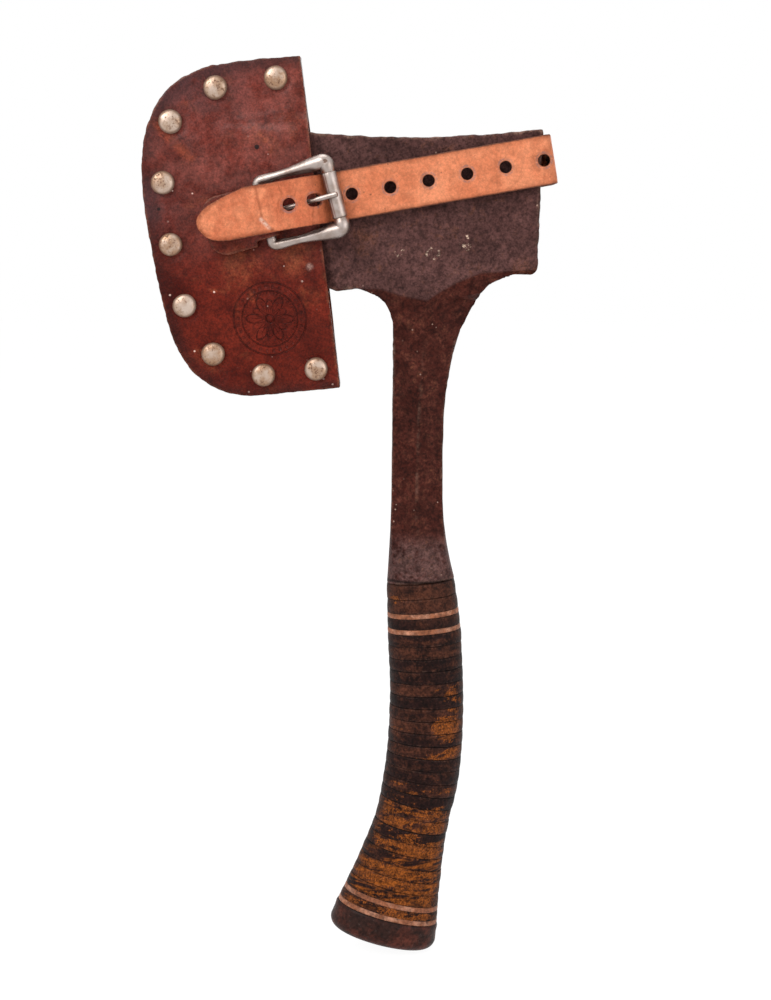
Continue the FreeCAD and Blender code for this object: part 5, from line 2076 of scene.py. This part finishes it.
    def owner(self, middle: Vector) -> Body:
        """Body that a face of the strap belongs to.

        Args:
            middle: Its middle in metres.

        Returns:
            The body.
        """
        place, _ = self.along(np.array(middle) / MM)
        if middle.y > 0.0 and place < self.split_back:
            return Body.SHEATH
        if middle.y < 0.0 and place < self.split_tail:
            return Body.STRAP_TAIL
        return Body.STRAP_FREE

    def stretch(self, whole: BMesh, name: str, body: Body) -> Object:
        """Part of the strap that belongs to one body.

        Args:
            whole: The divided strap.
            name: Name of the piece.
            body: Body that the part belongs to.

        Returns:
            The piece, with its open end closed.
        """
        shape = whole.copy()
        lost = [face for face in shape.faces if self.owner(face.calc_center_median()) is not body]
        bmesh.ops.delete(shape, geom=lost, context="FACES")
        rim = [edge for edge in shape.edges if edge.is_boundary]
        bmesh.ops.holes_fill(shape, edges=rim, sides=0)
        return new_piece(name, take_mesh(shape, name))

    def build(self) -> list[Object]:
        """Builds the three stretches and attaches the leg to the sheath's body.

        Returns:
            The pieces.
        """
        whole = self.whole()
        back = self.stretch(whole, "strap_leg", Body.SHEATH)
        free = self.stretch(whole, "strap_free_run", Body.STRAP_FREE)
        tail = self.stretch(whole, "strap_tail_end", Body.STRAP_TAIL)
        whole.free()
        STRAP.dress(back, free, tail)
        for piece, node in ((back, "strap_back"), (free, "strap_front"), (tail, "strap_tip")):
            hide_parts(node)
        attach(back, Body.SHEATH.value)
        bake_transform(free)
        start, normal = self.plane(self.split_tail - self.tail_overlap)
        start - normal * self.tail_bend * MM
        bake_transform(tail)
        return [back, free, tail]


@dataclass
class Chape(Assembly):
    """Folded leather that holds the buckle on the front panel, and the rivets out of sight."""

    grain: float = 0.45
    passes: int = 5
    waves: tuple[Relief, ...] = (Relief(0.08, 8.0, 41), Relief(0.04, 3.0, 42))
    middle_rim: float = 7.0
    edge_rim: float = 2.0
    mouth: float = 9.0

    def build(self) -> list[Object]:
        """Builds and dresses the fold and dresses the flat rivets.

        Returns:
            The fold.
        """
        mesh = self.model.softened(["chape"], self.grain, self.passes)
        points = read_points(mesh)
        write_points(mesh, points + read_normals(mesh) * uneven(points, self.waves)[:, None])
        edge = worn_edges(mesh, self.grain)
        inward = self.middle_rim - self.edge_rim
        store(mesh, Mark.EDGE, edge)
        store(mesh, Mark.RIM, self.middle_rim - inward * fade(edge, 0.0, 0.6))
        store(mesh, Mark.MOUTH, np.full(len(points), self.mouth))
        store(mesh, Mark.CUT, np.zeros(len(points)))
        store(mesh, Mark.STREAK, np.zeros(len(points)))
        nodes = self.model.frame["nodes"]
        RIVET.dress(nodes["chape_rivet"], nodes["strap_rivets"])
        return [fitted("buckle_chape", mesh, SHEATH, "chape", Body.SHEATH)]


@dataclass
class Buckle(Assembly):
    """Roller buckle: frame, roller on its front bar and tongue on its heel bar."""

    tilt: float = 14.7
    front: Point = (-35.433, -18.4, 234.932)
    heel: Point = (-63.0, -13.136, 227.7)
    heel_half: float = 12.9
    front_half: float = 13.6
    corner_bend: float = 2.1
    corner_steps: int = 9
    side_steps: int = 24
    heel_corner: float = 2.1
    front_corner: float = 3.1
    heel_bar: float = 1.6
    side_waist: float = 1.65
    front_bar: float = 1.8
    bar_swell: Span = (0.62, 0.98)
    waist_place: float = 0.35
    heel_swell: float = 0.3
    bar_sides: int = 40
    dimple: float = 0.45
    dimple_width: float = 0.7
    roller_radius: float = 2.95
    roller_bore: float = 1.95
    roller_length: float = 18.0
    roller_lip: float = 0.45
    roller_sides: int = 72
    seam_turn: float = 4.0
    seam_width: float = 0.06
    seam_depth: float = 0.06
    prong_grain: float = 0.24
    prong_passes: int = 14
    prong_growth: float = 0.16
    prong_shown: Span = (-44.0, -42.0)

    def bar_radius(self, corner: int, share: float) -> float:
        """Radius of the frame between two corners.

        Args:
            corner: Number of the corner before, from the foot of the heel bar round.
            share: Share of the way to the next corner.

        Returns:
            The radius in millimetres.
        """
        if corner % 2 == 0:
            low, high = self.front_bar, self.front_corner
            if corner == 0:
                low, high = self.heel_bar, self.heel_corner
            return float(low + (high - low) * fade(abs(2.0 * share - 1.0), *self.bar_swell))
        from_heel = share if corner == 1 else 1.0 - share
        high, swell = self.heel_corner, fade(from_heel, self.heel_swell, 0.0)
        if from_heel > self.waist_place:
            high, swell = self.front_corner, fade(from_heel, self.waist_place, 1.0)
        return float(self.side_waist + (high - self.side_waist) * swell)

    def loop_path(self) -> tuple[Array, list[float]]:
        """Closed middle line of the frame with its rounded corners, and its radius there.

        Returns:
            Points in millimetres and one radius for each.
        """
        _, along = level_axes(self.tilt)
        heel, front = np.array(self.heel), np.array(self.front)
        corners = [heel - along * self.heel_half, heel + along * self.heel_half,
                   front + along * self.front_half, front - along * self.front_half]
        radii = [self.heel_corner, self.heel_corner, self.front_corner, self.front_corner]
        line, reach = [], []
        for k in range(4):
            here, after = corners[k], corners[(k + 1) % 4]
            come, leave = corners[k - 1] - here, after - here
            come, leave = come / np.linalg.norm(come), leave / np.linalg.norm(leave)
            for t in np.linspace(0.0, 1.0, self.corner_steps):
                line.append(here + self.corner_bend * ((1.0 - t) ** 2 * come + t ** 2 * leave))
                reach.append(radii[k])
            start, end = line[-1], after - leave * self.corner_bend
            for t in np.arange(1, self.side_steps) / self.side_steps:
                line.append(start + (end - start) * t)
                reach.append(self.bar_radius(k, t))
        return np.array(line), reach

    def loop_rings(self) -> list[Array]:
        """Rings of the cast frame round its closed middle line.

        Returns:
            The rings, of which the last is the first again.
        """
        line, reach = self.loop_path()
        _, along = level_axes(self.tilt)
        rise = np.array(self.front) - np.array(self.heel)
        up = np.cross(rise / np.linalg.norm(rise), along)
        turn = circle(self.bar_sides)[:, None]
        rings = []
        for k, (middle, radius) in enumerate(zip(line, reach)):
            run = line[(k + 1) % len(line)] - line[k - 1]
            out = np.cross(run / np.linalg.norm(run), up)
            rings.append(middle + radius * (np.cos(turn) * out + np.sin(turn) * up))
        return rings + [rings[0]]

    def loop_mesh(self) -> Mesh:
        """Frame of the buckle, with a small dimple in one corner.

        Returns:
            Its mesh.
        """
        open_mesh = mesh_of_rings(self.loop_rings())
        shape = bmesh.new()
        shape.from_mesh(open_mesh)
        bpy.data.meshes.remove(open_mesh)
        bmesh.ops.remove_doubles(shape, verts=shape.verts, dist=WELD)
        mesh = take_mesh(shape, "loop")
        points = read_points(mesh)
        corner = np.array(self.front) + level_axes(self.tilt)[1] * self.front_half
        reach = np.hypot(points[:, 0] - corner[0], points[:, 2] - corner[2])
        outside = points[:, 1] < corner[1] - 1.0
        pressed = self.dimple * bump(reach, self.dimple_width) * outside
        points[:, 1] += pressed
        write_points(mesh, points)
        store(mesh, Mark.EDGE, np.where(pressed > self.dimple / 3.0, -1.0, 0.0))
        return mesh

    def roller_profile(self) -> list[tuple[float, float]]:
        """Half a section of the roller, with its bore and its two rounded lips.

        Returns:
            Place along the axis and radius, point by point.
        """
        half, lip, radius = self.roller_length / 2.0, self.roller_lip, self.roller_radius
        lips = [(lip * (1.0 - math.sin(turn)), radius - lip * (1.0 - math.cos(turn)))
                for turn in np.radians((60.0, 30.0, 0.0))]
        end = [(-half, self.roller_bore), (-half, radius - lip)]
        end += [(-half + inward, reach) for inward, reach in lips]
        middle = [(half * share, radius) for share in (-0.6, -0.2, 0.2, 0.6)]
        return end + middle + [(-place, reach) for place, reach in reversed(end)]

    def roller_rings(self) -> list[Array]:
        """Rings of the rolled sheet-metal roller, with its seam.

        Returns:
            The rings, of which the last is the first again.
        """
        turn = circle(self.roller_sides)[:, None]
        across, axis = level_axes(self.tilt)
        round_axis = np.cos(turn) * across + np.sin(turn) * np.array([0.0, 1.0, 0.0])
        seam = 1.0 - self.seam_depth * bump(turn - self.seam_turn, self.seam_width)
        rings = []
        for run, radius in self.roller_profile():
            reach = radius * seam if radius > self.roller_bore else radius
            rings.append(np.array(self.front) + axis * run + reach * round_axis)
        return rings + [rings[0]]

    def prong_mesh(self) -> Mesh:
        """Tongue of the buckle, a little thicker where it shows.

        Returns:
            Its mesh.
        """
        mesh = self.model.softened(["buckle_tongue"], self.prong_grain, self.prong_passes)
        points = read_points(mesh)
        growth = self.prong_growth * fade(points[:, 0], *self.prong_shown)
        write_points(mesh, points + read_normals(mesh) * growth[:, None])
        return mesh

    def build(self) -> list[Object]:
        """Builds and dresses the three pieces.

        Returns:
            Roller, frame and tongue.
        """
        roller = mesh_of_rings(self.roller_rings())
        return [fitted("buckle_roll", roller, BUCKLE, "buckle_roller", Body.BUCKLE_ROLLER),
                fitted("buckle_loop", self.loop_mesh(), BUCKLE, "buckle_frame", Body.BUCKLE_FRAME),
                fitted("buckle_prong", self.prong_mesh(), BUCKLE, "buckle_tongue",
                       Body.BUCKLE_TONGUE)]


@dataclass(frozen=True)
class Lamp:
    """Soft square lamp: its name, its place, the length of its side and its power in watts."""

    name: str
    place: Point
    size: float
    power: float


@dataclass
class Studio:
    """Camera at the photograph's angle, pale floor, white surroundings and soft lamps."""

    look_at: Point = (-15.48, 0.0, 111.95)
    distance: float = 760.0
    elevation: float = 8.0
    focal_pixels: float = 1854.0
    picture_height: float = 1000.0
    sensor: float = 36.0
    clip_end: float = 50.0
    floor_z: float = -79.3
    floor_half: float = 6000.0
    floor_colour: Colour = (0.94, 0.94, 0.94)
    floor_glow: float = 0.86
    glow_strength: float = 1.1
    white: Colour = (1.0, 1.0, 1.0)
    ambient: float = 0.42
    lit: Point = (-20.0, 0.0, 160.0)
    lamps: tuple[Lamp, ...] = (
        Lamp("key", (-750.0, -900.0, 950.0), 700.0, 11.0),
        Lamp("fill", (900.0, -900.0, 350.0), 800.0, 4.5),
        Lamp("top", (-100.0, 200.0, 1300.0), 800.0, 5.0),
        Lamp("rim", (400.0, 1000.0, 500.0), 800.0, 4.0),
    )

    def camera(self) -> None:
        """Puts the camera where the photograph was taken from."""
        data = bpy.data.cameras.new("view")
        data.sensor_fit = "VERTICAL"
        data.sensor_height = self.sensor
        data.lens = self.focal_pixels / self.picture_height * self.sensor
        data.clip_end = self.clip_end
        camera = bpy.data.objects.new("view", data)
        bpy.context.scene.collection.objects.link(camera)
        angle = math.radians(self.elevation)
        back = Vector((0.0, -math.cos(angle), math.sin(angle)))
        camera.location = (Vector(self.look_at) + back * self.distance) * MM
        camera.rotation_euler = (-back).to_track_quat("-Z", "Y").to_euler()
        bpy.context.scene.camera = camera

    def hang(self, lamp: Lamp) -> None:
        """Adds a lamp that points at the object.

        Args:
            lamp: The lamp.
        """
        data = bpy.data.lights.new(lamp.name, "AREA")
        data.shape = "SQUARE"
        data.size = lamp.size * MM
        data.energy = lamp.power
        light = bpy.data.objects.new(lamp.name, data)
        bpy.context.scene.collection.objects.link(light)
        way = Vector(self.lit) - Vector(lamp.place)
        light.location = Vector(lamp.place) * MM
        light.rotation_euler = way.to_track_quat("-Z", "Y").to_euler()

    def world(self) -> None:
        """White for the camera, mirrors and glass, and a plain level for everything else."""
        world = bpy.data.worlds.new("surroundings")
        bpy.context.scene.world = world
        world.use_nodes = True
        nodes = Nodes(world.node_tree)
        plain = nodes.make("ShaderNodeBackground", None, {0: self.white, 1: self.ambient})
        white = nodes.make("ShaderNodeBackground", None, {0: self.white, 1: 1.0})
        seen = nodes.rays("Is Camera Ray", "Is Glossy Ray", "Is Transmission Ray")
        nodes.close("ShaderNodeOutputWorld", seen, plain, white)

    def floor(self) -> None:
        """Adds a pale floor that keeps the object's shadow."""
        reach, level = self.floor_half * MM, self.floor_z * MM
        corners = [(-reach, -reach, level), (reach, -reach, level), (reach, reach, level),
                   (-reach, reach, level)]
        mesh = bpy.data.meshes.new("floor")
        mesh.from_pydata(corners, [], [(0, 1, 2, 3)])
        floor = bpy.data.objects.new("floor", mesh)
        bpy.context.scene.collection.objects.link(floor)
        material = bpy.data.materials.new("floor_pale")
        material.use_nodes = True
        nodes = Nodes(material.node_tree)
        matte = nodes.make("ShaderNodeBsdfDiffuse", None, {0: self.floor_colour})
        glow = nodes.make("ShaderNodeEmission", None, {0: self.white, 1: self.glow_strength})
        seen = nodes.rays("Is Camera Ray", "Is Glossy Ray")
        nodes.close("ShaderNodeOutputMaterial", seen * self.floor_glow, matte, glow)
        floor.data.materials.append(material)

    def build(self) -> None:
        """Sets up the whole studio."""
        bpy.context.scene.view_settings.view_transform = "Standard"
        self.camera()
        self.world()
        self.floor()
        for lamp in self.lamps:
            self.hang(lamp)


def main() -> None:
    """Builds the studio and every sub-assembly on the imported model, and reports each piece."""
    logging.basicConfig(level=logging.INFO, format="%(message)s")
    model = Model(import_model())
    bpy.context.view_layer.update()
    studio = Studio()
    studio.build()
    log.info("studio: camera %.0f mm away, %d lamps", studio.distance, len(studio.lamps))
    for kind in (Head, Grip, Sheath, Strap, Chape, Buckle):
        for piece in kind(model).build():
            log.info("%s: %d faces", piece.name, len(piece.data.polygons))


if __name__ == "__main__":
    main()
